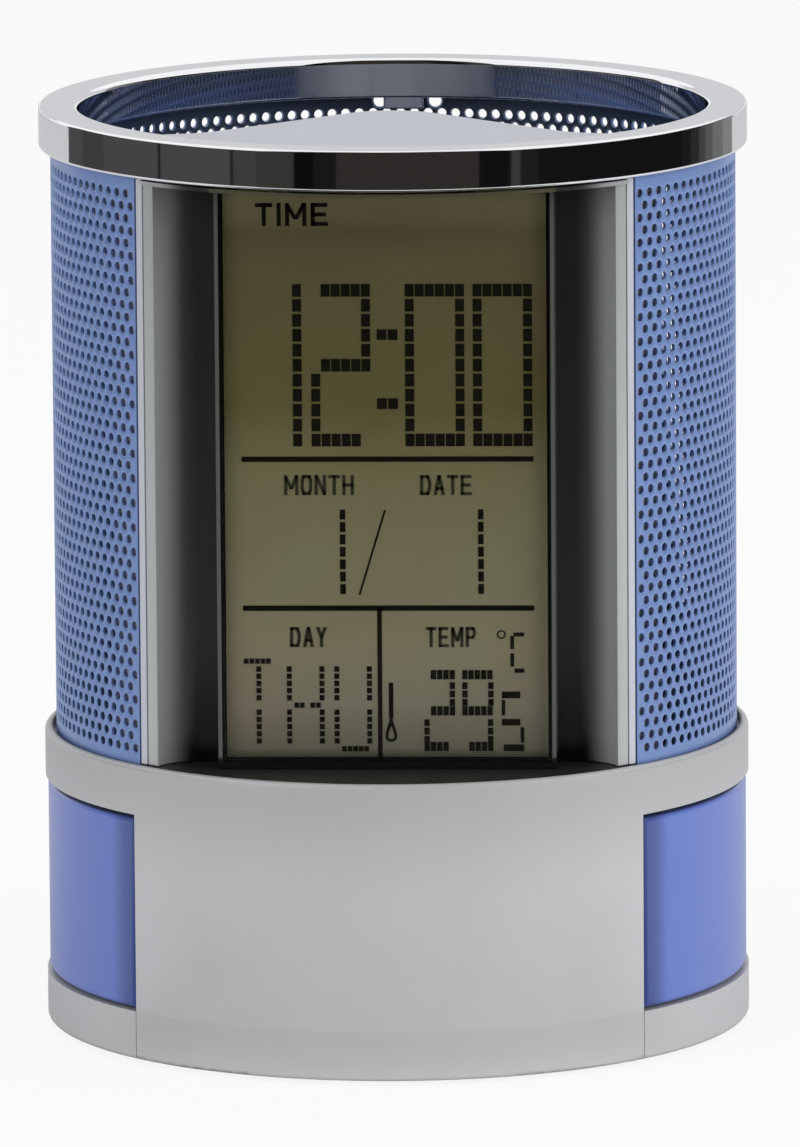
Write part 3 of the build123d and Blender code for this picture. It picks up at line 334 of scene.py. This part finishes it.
def shadeUpright(mesh, sharpAngle):
    facets = {}
    for polygon in mesh.polygons:
        if abs(polygon.normal.z) > wallTilt:
            continue
        across = Vector((-polygon.normal.y, polygon.normal.x, 0))
        spans = [mesh.vertices[i].co.dot(across) for i in polygon.vertices]
        width = max(max(spans) - min(spans), leastWidth)
        heading = (round(polygon.normal.x, 3), round(polygon.normal.y, 3))
        for index in polygon.vertices:
            corner = mesh.vertices[index].co
            seen = facets.setdefault((round(corner.x, 6), round(corner.y, 6)), {})
            seen[heading] = (polygon.normal.copy(), max(width, seen.get(heading, (None, 0))[1]))
    normals = [corner.vector.copy() for corner in mesh.corner_normals]
    limit = cos(radians(sharpAngle))
    for polygon in mesh.polygons:
        if abs(polygon.normal.z) > levelTilt:
            for loopIndex in polygon.loop_indices:
                normals[loopIndex] = polygon.normal.copy()
        if abs(polygon.normal.z) > wallTilt:
            continue
        for loopIndex in polygon.loop_indices:
            corner = mesh.vertices[mesh.loops[loopIndex].vertex_index].co
            blend = Vector()
            for normal, width in facets[(round(corner.x, 6), round(corner.y, 6))].values():
                if normal.dot(polygon.normal) > limit:
                    blend += normal / width
            normals[loopIndex] = blend.normalized() if blend.length else polygon.normal
    mesh.normals_split_custom_set(normals)


# Turns a bmesh into a mesh and frees it
def meshFrom(name, bm):
    mesh = bpy.data.meshes.new(name)
    bm.to_mesh(mesh)
    bm.free()
    return mesh


def addObject(name, data):
    thing = bpy.data.objects.new(name, data)
    bpy.context.scene.collection.objects.link(thing)
    return thing


# The vertices among what a bmesh operator has made
def newVertsOf(result):
    return [part for part in result["geom"] if isinstance(part, bmesh.types.BMVert)]


# Makes an object of a bmesh, rounds its shading over gentle angles and hangs it on a body
def addPiece(name, bm, slot, body="body", replaced=(), sharpAngle=32.0, upright=False):
    mesh = meshFrom(name, bm)
    for polygon in mesh.polygons:
        polygon.use_smooth = True
    mesh.set_sharp_from_angle(angle=radians(sharpAngle))
    mesh.materials.append(finishes[slot])
    piece = addObject(name, mesh)
    if upright:
        shadeUpright(mesh, sharpAngle)
    else:
        weighting = piece.modifiers.new("flatFaces", "WEIGHTED_NORMAL")
        weighting.keep_sharp = True
    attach(piece, body)
    if replaced:
        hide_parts(*replaced)
    return piece


# A node's own shape with its loose triangles joined, so that curved walls shade smoothly
def smoothNode(node, body="body"):
    bm = bmesh.new()
    bm.from_mesh(frame["nodes"][node].data)
    bmesh.ops.remove_doubles(bm, verts=bm.verts[:], dist=0.0005 * mm)
    return addPiece(node + "_finished", bm, slotOf[node], body, (node,), upright=True)


fixedNodes = ["clock_bezel", "clock_housing", "base_shell", "base_tray", "side_panel_right",
              "side_panel_left", "base_screws", "housing_screws", "foot_pads", "battery_right",
              "battery_left"]
movingNodes = ["battery_door", "mode_button", "set_button", "up_button", "down_button"]
for node in fixedNodes:
    smoothNode(node)
for node in movingNodes:
    smoothNode(node, node)
for node, thing in frame["nodes"].items():
    thing.data.materials.clear()
    thing.data.materials.append(finishes[slotOf[node]])
print("stage: nodes dressed")

# Mouth ring: its section spun round, with the clips that hook the sheet behind its inner wall
ring = {
    "outer": 40.0, "inner": 35.5, "top": 105.1, "height": 4.6, "wall": 1.2, "edge": 0.35, "roll": 0.7,
    "roundSteps": 8, "spinSteps": 288, "clipWidth": 4.8, "clipInner": 36.1, "clipOuter": 38.1,
    "clipLow": 99.1, "clipHigh": 101.7, "clipEdge": 0.25, "clipAngles": (89.2, 180.0, 270.8),
    "clipSteps": 10, "clipRoundSteps": 3, "clipFold": 0.5,
}


# A section in the plane of X and Z, given as pairs of radius and height
def addSection(bm, corners):
    return bm.faces.new([bm.verts.new((radius * mm, 0, height * mm)) for radius, height in corners])


def makeRing():
    bm = bmesh.new()
    bottom, under = ring["top"] - ring["height"], ring["top"] - ring["wall"]
    outerWall, innerWall = ring["outer"] - ring["wall"], ring["inner"] + ring["wall"]
    section = addSection(bm, [
        (ring["inner"], bottom), (ring["inner"], ring["top"]), (ring["outer"], ring["top"]),
        (ring["outer"], bottom), (outerWall, bottom), (outerWall, under), (innerWall, under),
        (innerWall, bottom)])
    innerFoot, mouth, outerTop, outerFoot = section.verts[:4]
    # The mouth rolls in gently, the other edges are tight
    for rounded, size in (([mouth], ring["roll"]), ([innerFoot, outerTop, outerFoot], ring["edge"])):
        bmesh.ops.bevel(bm, geom=rounded, affect="VERTICES", offset=size * mm, offset_type="OFFSET",
                        segments=ring["roundSteps"], profile=0.5, material=-1)
    bmesh.ops.delete(bm, geom=bm.faces[:], context="FACES_ONLY")
    bmesh.ops.spin(bm, geom=bm.verts[:] + bm.edges[:], cent=(0, 0, 0), axis=(0, 0, 1), dvec=(0, 0, 0),
                   angle=2 * pi, steps=ring["spinSteps"], use_merge=True)
    bmesh.ops.remove_doubles(bm, verts=bm.verts[:], dist=1e-7)
    bmesh.ops.recalc_face_normals(bm, faces=bm.faces[:])
    addPiece("mouth_ring", bm, "chrome", "body", ("top_ring",), sharpAngle=50.0)


def makeClip(number, angle):
    bm = bmesh.new()
    section = addSection(bm, [
        (ring["clipInner"], ring["clipLow"]), (ring["clipOuter"], ring["clipLow"]),
        (ring["clipOuter"], ring["clipHigh"]), (ring["clipInner"], ring["clipHigh"])])
    spread = ring["clipWidth"] / ring["clipOuter"]
    bmesh.ops.spin(bm, geom=[section] + list(section.edges) + list(section.verts), cent=(0, 0, 0),
                   axis=(0, 0, 1), dvec=(0, 0, 0), angle=spread, steps=ring["clipSteps"])
    bmesh.ops.recalc_face_normals(bm, faces=bm.faces[:])
    rims = [e for e in bm.edges if len(e.link_faces) == 2 and e.calc_face_angle() > ring["clipFold"]]
    bmesh.ops.bevel(bm, geom=rims, affect="EDGES", offset=ring["clipEdge"] * mm, offset_type="OFFSET",
                    segments=ring["clipRoundSteps"], profile=0.5, material=-1)
    turn = Matrix.Rotation(radians(angle - 90) - spread / 2, 3, "Z")
    bmesh.ops.rotate(bm, verts=bm.verts[:], cent=(0, 0, 0), matrix=turn)
    addPiece(f"ring_clip_{number}", bm, "chrome", "body", ("top_ring",))


makeRing()
for number, angle in enumerate(ring["clipAngles"], 1):
    makeClip(number, angle)
print("stage: ring")

# Perforated sheet: staggered round holes, rolled to a C. Angles are counted from the front.
sheet = {
    "radius": 38.7, "thickness": 0.5, "bottom": 33.2, "top": 103.6, "startAngle": 45.99, "endAngle": 314.01,
    "pitch": 1.6085, "rows": 46, "firstRow": 98.4, "columns": 112, "holeRadius": 0.49, "holeSides": 12,
    "dimple": 0.1, "notches": (53, 57), "notchScale": 1.5, "weld": 0.02, "rowReach": 0.1,
}
cellRadius = sheet["pitch"] / sqrt(3)
rowStep = 1.5 * cellRadius
topRow = sheet["firstRow"] + rowStep
lastRow = sheet["firstRow"] - (sheet["rows"] - 1) * rowStep
sheetArc = radians(sheet["endAngle"] - sheet["startAngle"]) * sheet["radius"]
margin = (sheetArc - (sheet["columns"] - 0.5) * sheet["pitch"]) / 2
leftEnd, rightEnd = -margin, sheetArc - margin
holeMark, marginMark = 1, 2


# Six-sided cells with a round hole each, laid out flat in staggered rows
def layCells(bm, marks, firstColumn, columns):
    bmesh.ops.create_circle(bm, radius=cellRadius, segments=6)
    hole = bmesh.ops.create_circle(bm, radius=sheet["holeRadius"], segments=sheet["holeSides"])
    for vertex in hole["verts"]:
        vertex[marks] = holeMark
    bmesh.ops.bridge_loops(bm, edges=bm.edges[:])
    cell = bm.verts[:] + bm.edges[:] + bm.faces[:]
    for column in range(1, columns):
        verts = newVertsOf(bmesh.ops.duplicate(bm, geom=cell))
        bmesh.ops.translate(bm, verts=verts, vec=(column * sheet["pitch"], 0, 0))
    row = bm.verts[:] + bm.edges[:] + bm.faces[:]
    for step in range(1, sheet["rows"]):
        verts = newVertsOf(bmesh.ops.duplicate(bm, geom=row))
        bmesh.ops.translate(bm, verts=verts, vec=(step % 2 * sheet["pitch"] / 2, -step * rowStep, 0))
    # A row of plain cells above, with a wide hole each side of the rear clip
    for column in range(columns):
        if firstColumn + column in sheet["notches"]:
            verts = newVertsOf(bmesh.ops.duplicate(bm, geom=cell))
            widened = [v for v in verts if v[marks]]
            bmesh.ops.scale(bm, verts=widened, vec=(sheet["notchScale"], sheet["notchScale"], 1))
        else:
            verts = bmesh.ops.create_circle(bm, cap_ends=True, radius=cellRadius, segments=6)["verts"]
        bmesh.ops.translate(bm, verts=verts, vec=((column + 0.5) * sheet["pitch"], rowStep, 0))
    bmesh.ops.remove_doubles(bm, verts=bm.verts[:], dist=sheet["weld"])
    bmesh.ops.translate(bm, verts=bm.verts[:], vec=(firstColumn * sheet["pitch"], sheet["firstRow"], 0))


# Plain margins: the outer boundary is drawn out to the sheet's edges
def drawMargins(bm, marks, firstColumn, columns):
    atLeft = firstColumn == 0
    halfway = (2 * firstColumn + columns - 0.5) * sheet["pitch"] / 2

    def sideOf(vertex):
        if vertex.co.y > topRow + sheet["rowReach"]:
            return "top"
        if vertex.co.y < lastRow - sheet["rowReach"]:
            return "bottom"
        return "low" if vertex.co.x < halfway else "high"

    # The zigzag where the two halves meet stays as it is
    meeting = "high" if atLeft else "low"
    outer = [e for e in bm.edges if e.is_boundary and not (e.verts[0][marks] or e.verts[1][marks])]
    kept = [e for e in outer if meeting not in {sideOf(v) for v in e.verts}]
    drawn = newVertsOf(bmesh.ops.extrude_edge_only(bm, edges=kept))
    for vertex in drawn:
        vertex[marks] = marginMark
    sideNames = {v: sideOf(v) for v in drawn}
    for vertex, side in sideNames.items():
        if side in ("top", "bottom"):
            vertex.co.y = sheet[side]
        elif side != meeting:
            vertex.co.x = leftEnd if atLeft else rightEnd
    for side in ("top", "bottom"):
        ends = sorted((v for v in drawn if sideNames[v] == side), key=lambda v: v.co.x)
        if atLeft:
            ends[0].co.x = leftEnd
        else:
            ends[-1].co.x = rightEnd


def perforatedHalf(name, firstColumn, columns):
    bm = bmesh.new()
    marks = bm.verts.layers.int.new("hole")
    layCells(bm, marks, firstColumn, columns)
    drawMargins(bm, marks, firstColumn, columns)
    # Rolled round the cup, each hole's edge drawn in a little by the punch, then given its thickness
    for vertex in bm.verts:
        angle = radians(sheet["startAngle"]) + (vertex.co.x - leftEnd) / sheet["radius"]
        radius = sheet["radius"] - (sheet["dimple"] if vertex[marks] == holeMark else 0)
        vertex.co = Vector((radius * sin(angle), -radius * cos(angle), vertex.co.y)) * mm
    bmesh.ops.recalc_face_normals(bm, faces=bm.faces[:])
    middle = bm.faces[0].calc_center_median()
    if bm.faces[0].normal.dot(Vector((middle.x, middle.y, 0))) < 0:
        bmesh.ops.reverse_faces(bm, faces=bm.faces[:])
    bmesh.ops.solidify(bm, geom=bm.faces[:], thickness=sheet["thickness"] * mm)
    addPiece(name, bm, "blue_mesh", "body", ("mesh_sleeve",))


halfColumns = sheet["columns"] // 2
perforatedHalf("mesh_sleeve_right", 0, halfColumns)
perforatedHalf("mesh_sleeve_left", halfColumns, sheet["columns"] - halfColumns)
print("stage: perforated sheet")

# Display: figures of small blocks, lines and labels, as thin as ink on the cell's front.
# Places are given across and up, to the middle of a block unless the name says left or top.
display = {
    "front": 28.79, "ink": 0.04, "inkTone": "#0B0B05", "fineInkTone": "#26261A",
    "timeFigures": (("1", -15.95), ("2", -8.3), ("0", 2.16), ("0", 9.7)), "timeTop": 88.66,
    "timeColumnPitch": 1.12, "timeRowPitch": 1.685, "timeBlock": (1.0, 1.42),
    "colonAcross": (-0.38, 0.86), "colonUp": (82.97, 75.2), "colonBlock": (1.08, 1.22),
    "lines": [(0.2, 68.94, 32.5, 0.6), (0.2, 52.1, 32.5, 0.6), (-0.83, 43.2, 0.5, 17.8)],
    "dateAcross": (-4.87, 10.53), "dateTop": 63.25, "dateRows": 7, "dateRowPitch": 1.405,
    "dateBlock": (0.62, 1.12), "slash": (-1.58, 58.4, 0.22, 9.6, 0.303),
    "dayRows": [(-16.0, 46.1, 5), (-10.4, 41.1, 2), (-8.6, 41.1, 2), (-5.1, 36.15, 5)],
    "dayRowPitch": 0.62, "dayRowBlock": (0.52, 0.6), "dayColumns": (-14.35, -10.95, -7.3, -5.65, -2.0),
    "dayColumnUp": (45.2, 40.3), "dayColumnSteps": 5, "dayColumnPitch": 0.815, "dayColumnBlock": (0.56, 0.62),
    "degreeSign": (12.75, 49.1, 0.5, 0.34, 1.0), "thermometerDrop": (0.4, 37.6, 0.68, 0.36, 2.9),
    "thermometerStem": (0.4, 41.6, 0.5, 4.1), "loopSides": 24, "dropNarrowing": 0.5,
}
figurePatterns = {
    "0": ["######"] + ["#....#"] * 9 + ["######"],
    "1": [".....#"] * 11,
    "2": [".#####"] + [".....#"] * 4 + [".#####"] + ["#....."] * 4 + ["#####."],
}


# One flat block of ink, given by its middle and size, and leaning by a slope if it is a slanted stroke
def addBlock(bm, x, z, width, height, slope=0.0):
    made = bmesh.ops.create_cube(bm, size=1.0)
    bmesh.ops.scale(bm, verts=made["verts"], vec=(width, display["ink"], height))
    for vertex in made["verts"]:
        vertex.co.x += slope * vertex.co.z
    bmesh.ops.translate(bm, verts=made["verts"], vec=(x, -display["front"] - display["ink"] / 2, z))


# A round outline of ink; a stretch above one draws its upper half up to a drop's tip
def addLoop(bm, x, z, outerRadius, innerRadius, stretch):
    verts = []
    for radius in (outerRadius, innerRadius):
        loop = bmesh.ops.create_circle(bm, radius=radius, segments=display["loopSides"])["verts"]
        for vertex in loop:
            if stretch > 1.0 and vertex.co.y > 0:
                vertex.co.x *= 1.0 - display["dropNarrowing"] * vertex.co.y / radius
                vertex.co.y *= stretch
        verts += loop
    band = bmesh.ops.bridge_loops(bm, edges=list({e for v in verts for e in v.link_edges}))
    raised = newVertsOf(bmesh.ops.extrude_face_region(bm, geom=band["faces"]))
    bmesh.ops.translate(bm, verts=raised, vec=(0, 0, display["ink"]))
    bmesh.ops.rotate(bm, verts=verts + raised, cent=(0, 0, 0), matrix=Matrix.Rotation(pi / 2, 3, "X"))
    bmesh.ops.translate(bm, verts=verts + raised, vec=(x, -display["front"], z))


def addTime(bm):
    width, height = display["timeBlock"]
    for character, leftEdge in display["timeFigures"]:
        for rowIndex, line in enumerate(figurePatterns[character]):
            level = display["timeTop"] - height / 2 - rowIndex * display["timeRowPitch"]
            for columnIndex, mark in enumerate(line):
                if mark == "#":
                    across = leftEdge + (columnIndex + 0.5) * display["timeColumnPitch"]
                    addBlock(bm, across, level, width, height)
    for level in display["colonUp"]:
        for x in display["colonAcross"]:
            addBlock(bm, x, level, *display["colonBlock"])


def addDate(bm):
    width, height = display["dateBlock"]
    for x in display["dateAcross"]:
        for step in range(display["dateRows"]):
            addBlock(bm, x, display["dateTop"] - height / 2 - step * display["dateRowPitch"], width, height)
    addBlock(bm, *display["slash"])


# Day letters of tiny blocks, in rows and columns
def addDay(bm):
    width, height = display["dayRowBlock"]
    for x, z, count in display["dayRows"]:
        for step in range(count):
            addBlock(bm, x + step * display["dayRowPitch"] + width / 2, z, width, height)
    for x in display["dayColumns"]:
        for z in display["dayColumnUp"]:
            for step in range(display["dayColumnSteps"]):
                addBlock(bm, x, z - step * display["dayColumnPitch"], *display["dayColumnBlock"])


# Temperature: two figures in rows and columns of small blocks, a small one and the unit in single strokes
temperature = {
    "strokes": [  # Left block, top block, and how many blocks across and down
        (5.15, 44.55, 4, 1), (7.25, 43.3, 1, 3), (5.15, 40.45, 4, 1), (4.4, 39.1, 1, 3), (4.4, 36.4, 4, 1),
        (8.65, 44.55, 5, 1), (8.65, 43.3, 1, 3), (11.55, 43.3, 1, 3), (8.65, 40.45, 5, 1), (11.5, 39.1, 1, 3),
        (9.4, 36.4, 4, 1)],
    "pitchAcross": 0.7, "pitchDown": 0.95, "blockWidth": 0.6, "rowHeight": 1.05, "columnHeight": 0.78,
    "smallFigure": [(13.8, 42.25, 2.05, 0.78), (12.95, 40.8, 0.4, 1.75), (13.8, 39.15, 2.05, 0.74),
                    (15.05, 37.7, 0.42, 1.75), (14.1, 36.25, 2.3, 0.78)],
    "unit": [(14.7, 49.1, 1.2, 0.45), (13.95, 48.2, 0.42, 1.5), (13.95, 46.2, 0.42, 1.5),
             (14.75, 45.0, 1.1, 0.5)],
}


def addTemperature(bm):
    for x, z, across, down in temperature["strokes"]:
        height = temperature["rowHeight" if across > 1 else "columnHeight"]
        for columnIndex in range(across):
            for rowIndex in range(down):
                addBlock(bm, x + columnIndex * temperature["pitchAcross"],
                         z - rowIndex * temperature["pitchDown"], temperature["blockWidth"], height)
    for stroke in temperature["smallFigure"] + temperature["unit"]:
        addBlock(bm, *stroke)
    addLoop(bm, *display["degreeSign"])
    addLoop(bm, *display["thermometerDrop"])
    addBlock(bm, *display["thermometerStem"])


# Brings flat ink to metres and lays it on the cell
def finishInk(name, bm, material):
    bmesh.ops.scale(bm, verts=bm.verts[:], vec=(mm, mm, mm))
    bmesh.ops.recalc_face_normals(bm, faces=bm.faces[:])
    piece = addPiece(name, bm, "lcd")
    piece.data.materials[0] = material


def makeFigures(material):
    bm = bmesh.new()
    addTime(bm)
    for line in display["lines"]:
        addBlock(bm, *line)
    addDate(bm)
    addDay(bm)
    addTemperature(bm)
    finishInk("display_figures", bm, material)


# Plain function words over the figures. Each letter is a few strokes in a cell one wide and one high.
letterStrokes = {
    "T": [(0, 1, 1, 1), (0.5, 0, 0.5, 1)],
    "I": [(0.5, 0, 0.5, 1)],
    "M": [(0, 0, 0, 1), (0, 1, 0.5, 0.25), (0.5, 0.25, 1, 1), (1, 0, 1, 1)],
    "E": [(0, 0, 0, 1), (0, 1, 0.95, 1), (0, 0.5, 0.85, 0.5), (0, 0, 1, 0)],
    "O": [(0, 0.22, 0, 0.78), (1, 0.22, 1, 0.78), (0.22, 1, 0.78, 1), (0.22, 0, 0.78, 0),
          (0, 0.74, 0.22, 1), (1, 0.74, 0.78, 1), (0.22, 0, 0, 0.26), (0.78, 0, 1, 0.26)],
    "N": [(0, 0, 0, 1), (1, 0, 0, 1), (1, 0, 1, 1)],
    "H": [(0, 0, 0, 1), (1, 0, 1, 1), (0, 0.5, 1, 0.5)],
    "D": [(0, 0, 0, 1), (0, 1, 0.7, 1), (0, 0, 0.7, 0), (1, 0.3, 1, 0.7), (1, 0.66, 0.7, 1),
          (0.7, 0, 1, 0.34)],
    "A": [(0, 0, 0.5, 1), (1, 0, 0.5, 1), (0.2, 0.3, 0.8, 0.3)],
    "Y": [(0.5, 0.45, 0, 1), (0.5, 0.45, 1, 1), (0.5, 0, 0.5, 0.5)],
    "P": [(0, 0, 0, 1), (0, 1, 0.75, 1), (0, 0.48, 0.75, 0.48), (1, 0.62, 1, 0.86), (1, 0.84, 0.75, 1),
          (0.75, 0.48, 1, 0.64)],
}
letterShares = {"I": 0.0, "M": 1.12}
plainLetterShare = 0.85
slantedThickness = 1.1
# Each word with its left and right side, its foot and head, its stroke, and its gaps as a share of its height
labels = [
    ("TIME", -14.32, -6.23, 95.17, 97.76, 0.46, 0.36), ("MONTH", -11.35, -3.57, 64.89, 67.15, 0.36, 0.27),
    ("DATE", 3.8, 9.57, 64.87, 67.13, 0.36, 0.27), ("DAY", -10.83, -6.71, 47.69, 49.96, 0.36, 0.27),
    ("TEMP", 4.35, 9.92, 47.67, 49.95, 0.36, 0.27),
]


# A word set between two sides, its letters as wide as their shares and its gaps alike
def makeLabel(material, word, left, right, low, high, stroke, space):
    gap = space * (high - low)
    shares = [letterShares.get(letter, plainLetterShare) for letter in word]
    cell = (right - left - stroke - gap * (len(word) - 1)) / sum(shares)
    bm = bmesh.new()
    start = left + stroke / 2
    lowLine, tall = low + stroke / 2, high - low - stroke
    for letter, share in zip(word, shares):
        wide = share * cell
        for x0, z0, x1, z1 in letterStrokes[letter]:
            xa, xb = start + x0 * wide, start + x1 * wide
            za, zb = lowLine + z0 * tall, lowLine + z1 * tall
            if za == zb:
                addBlock(bm, (xa + xb) / 2, za, xb - xa + stroke, stroke)
                continue
            bottom = za - (stroke / 2 if z0 == 0 else 0)
            top = zb + (stroke / 2 if z1 == 1 else 0)
            thickness = stroke * (slantedThickness if x0 != x1 else 1)
            slope = (xb - xa) / (top - bottom)
            addBlock(bm, (xa + xb) / 2, (bottom + top) / 2, thickness, top - bottom, slope)
        start += wide + gap
    finishInk("label_" + word.lower(), bm, material)


fullInk = lcdInk("lcdInk", display["inkTone"])
fineInk = lcdInk("lcdFineInk", display["fineInkTone"])
makeFigures(fullInk)
for label in labels:
    makeLabel(fullInk if label[0] == "TIME" else fineInk, *label)
print("stage: display")

# Stage, in metres: white table and ground, a room for the mirror finishes, soft lamps and the camera
stage = {
    "floorHalf": 6.0, "floorTone": "#D4D4D4", "floorRoughness": 0.8, "floorWhite": 0.88,
    "cardRadius": 0.3, "cardSteps": 12, "worldTone": "#F6F8FF", "worldStrength": 0.55,
    "lampAim": (0, 0, 0.055),
    "lamps": [  # Name, place, size and watts
        ("lampLeft", (-0.88, -1.0, 0.45), (1.0, 0.8), 12.2),
        ("lampRight", (1.1, -0.6, 0.45), (1.0, 0.8), 16.4),
        ("lampTop", (0.0, 0.2, 1.4), (1.2, 1.2), 5)],
}


def emitter(name, tone):
    material = bpy.data.materials.new(name)
    material.use_nodes = True
    tree = material.node_tree
    tree.nodes.clear()
    glow = addNode(tree, "ShaderNodeEmission", values={"Color": linearColour(tone), "Strength": 1.0})
    addNode(tree, "ShaderNodeOutputMaterial", links={"Surface": glow.outputs["Emission"]})
    return material


# Matt white table that the camera sees nearly as bright as the ground behind it, with the shadow kept
def whiteTable():
    material, tree, shader = startMaterial("whiteTable", {"Base Color": linearColour(stage["floorTone"]),
                                                          "Roughness": stage["floorRoughness"]})
    path = addNode(tree, "ShaderNodeLightPath")
    share = addNode(tree, "ShaderNodeMath", {"operation": "MULTIPLY"}, {1: stage["floorWhite"]},
                    {0: path.outputs["Is Camera Ray"]})
    glow = addNode(tree, "ShaderNodeEmission", values={"Color": (1, 1, 1, 1), "Strength": 1.0})
    blend = addNode(tree, "ShaderNodeMixShader", links={0: share.outputs["Value"], 1: shader.outputs["BSDF"],
                                                        2: glow.outputs["Emission"]})
    tree.links.new(blend.outputs["Shader"], tree.nodes["Material Output"].inputs["Surface"])
    return material


def makeFloor():
    bm = bmesh.new()
    bmesh.ops.create_grid(bm, x_segments=1, y_segments=1, size=stage["floorHalf"])
    floor = addObject("floor", meshFrom("floor", bm))
    floor.data.materials.append(whiteTable())


# Cards round the table, seen only in mirror finishes. Angles run from the front towards +X.
bandCard, tallCard, backCard = (0.042, 0.22), (0.001, 1.6), (0.125, 0.21)
cards = [
    (-122, -112, bandCard, "#4A4849"), (-112, -100, bandCard, "#403D3D"), (-100, -80, bandCard, "#494648"),
    (-80, -75, bandCard, "#494648"), (-75, -74, bandCard, "#1A1A1A"), (-74, -48.5, bandCard, "#484647"),
    (-48.5, -47.5, bandCard, "#202020"), (-47.5, -40, bandCard, "#403E3D"), (-40, -28, tallCard, "#373634"),
    (-28, -22, tallCard, "#0D0D0D"), (-22, -15, tallCard, "#1A1918"), (-15, 28, tallCard, "#302C2A"),
    (28, 38, tallCard, "#121110"), (38, 41, bandCard, "#393A3A"), (41, 47, bandCard, "#1D1D1E"),
    (47, 104, bandCard, "#131315"), (104, 109, bandCard, "#1A1A1C"), (109, 114, bandCard, "#2A2A2C"),
    (114, 118, bandCard, "#444446"), (118, 123, bandCard, "#59595B"), (123, 131, bandCard, "#6E6E70"),
    (131, 140, bandCard, "#828283"), (140, 220, backCard, "#D2D3D6"),
]
groundCard = {"start": -62, "end": 62, "inner": 0.047, "outer": 0.14, "level": 0.0006, "tone": "#101010"}


def finishCard(name, bm, tone):
    card = addObject(name, meshFrom(name, bm))
    card.data.materials.append(emitter(name + "Tone", tone))
    card.visible_camera = False
    card.visible_diffuse = False
    card.visible_transmission = False
    card.visible_shadow = False


def makeArc(bm, radius, level, start, end):
    first = bm.verts.new((radius * sin(radians(start)), -radius * cos(radians(start)), level))
    bmesh.ops.spin(bm, geom=[first], cent=(0, 0, 0), axis=(0, 0, 1), dvec=(0, 0, 0),
                   angle=radians(end - start), steps=stage["cardSteps"])


def makeCards():
    for number, (start, end, (low, high), tone) in enumerate(cards):
        bm = bmesh.new()
        makeArc(bm, stage["cardRadius"], low, start, end)
        raised = newVertsOf(bmesh.ops.extrude_edge_only(bm, edges=bm.edges[:]))
        bmesh.ops.translate(bm, verts=raised, vec=(0, 0, high - low))
        finishCard(f"card{number}", bm, tone)
    bm = bmesh.new()
    makeArc(bm, groundCard["inner"], groundCard["level"], groundCard["start"], groundCard["end"])
    spread = newVertsOf(bmesh.ops.extrude_edge_only(bm, edges=bm.edges[:]))
    ratio = groundCard["outer"] / groundCard["inner"]
    bmesh.ops.scale(bm, verts=spread, vec=(ratio, ratio, 1))
    finishCard("groundCard", bm, groundCard["tone"])


# White to the camera and to the mirror and clear finishes, softer as light on the object
def makeWorld():
    world = bpy.data.worlds.new("studio")
    bpy.context.scene.world = world
    world.use_nodes = True
    tree = world.node_tree
    tree.nodes.clear()
    path = addNode(tree, "ShaderNodeLightPath")
    seen = addNode(tree, "ShaderNodeMath", {"operation": "MAXIMUM"},
                   links={0: path.outputs["Is Camera Ray"], 1: path.outputs["Is Glossy Ray"]})
    seenAll = addNode(tree, "ShaderNodeMath", {"operation": "MAXIMUM"},
                      links={0: seen.outputs["Value"], 1: path.outputs["Is Transmission Ray"]})
    soft = addNode(tree, "ShaderNodeBackground", values={"Color": linearColour(stage["worldTone"]),
                                                         "Strength": stage["worldStrength"]})
    plain = addNode(tree, "ShaderNodeBackground", values={"Color": (1, 1, 1, 1), "Strength": 1.0})
    blend = addNode(tree, "ShaderNodeMixShader",
                    links={0: seenAll.outputs["Value"], 1: soft.outputs["Background"],
                           2: plain.outputs["Background"]})
    addNode(tree, "ShaderNodeOutputWorld", links={"Surface": blend.outputs["Shader"]})


def addLamp(name, place, size, power):
    light = bpy.data.lights.new(name, "AREA")
    light.shape = "RECTANGLE"
    light.size, light.size_y = size
    light.energy = power
    lamp = addObject(name, light)
    aim = Vector(stage["lampAim"]) - Vector(place)
    lamp.rotation_euler = aim.to_track_quat("-Z", "Y").to_euler()
    lamp.location = place
    lamp.visible_glossy = False


# Distance in metres, target in millimetres across and up, focal length in the photo's pixels
cameraSetup = {"azimuth": 2.0, "elevation": 9.957, "roll": -0.4, "distance": 1.5507, "target": (0.488, 50.95),
               "focalPixels": 13652, "photoWidth": 800, "sensorWidth": 36, "clipEnd": 50}


def makeCamera():
    azimuth, elevation, roll = (radians(cameraSetup[k]) for k in ("azimuth", "elevation", "roll"))
    back = Vector((sin(azimuth) * cos(elevation), -cos(azimuth) * cos(elevation), sin(elevation)))
    right = (-back).cross(Vector((0, 0, 1))).normalized()
    up = right.cross(-back)
    turnedRight = right * cos(roll) + up * sin(roll)
    turnedUp = up * cos(roll) - right * sin(roll)
    across, level = cameraSetup["target"]
    target = Vector((across * cos(azimuth), across * sin(azimuth), level)) * mm
    place = target + back * cameraSetup["distance"]
    camera = addObject("camera", bpy.data.cameras.new("camera"))
    camera.matrix_world = Matrix((
        (turnedRight.x, turnedUp.x, back.x, place.x),
        (turnedRight.y, turnedUp.y, back.y, place.y),
        (turnedRight.z, turnedUp.z, back.z, place.z),
        (0, 0, 0, 1)))
    camera.data.sensor_fit = "HORIZONTAL"
    camera.data.sensor_width = cameraSetup["sensorWidth"]
    camera.data.lens = cameraSetup["focalPixels"] / cameraSetup["photoWidth"] * cameraSetup["sensorWidth"]
    camera.data.clip_end = cameraSetup["clipEnd"]
    bpy.context.scene.camera = camera


makeFloor()
makeCards()
makeWorld()
for lampSettings in stage["lamps"]:
    addLamp(*lampSettings)
makeCamera()
bpy.context.scene.view_settings.view_transform = "Standard"
print("stage: light and camera")
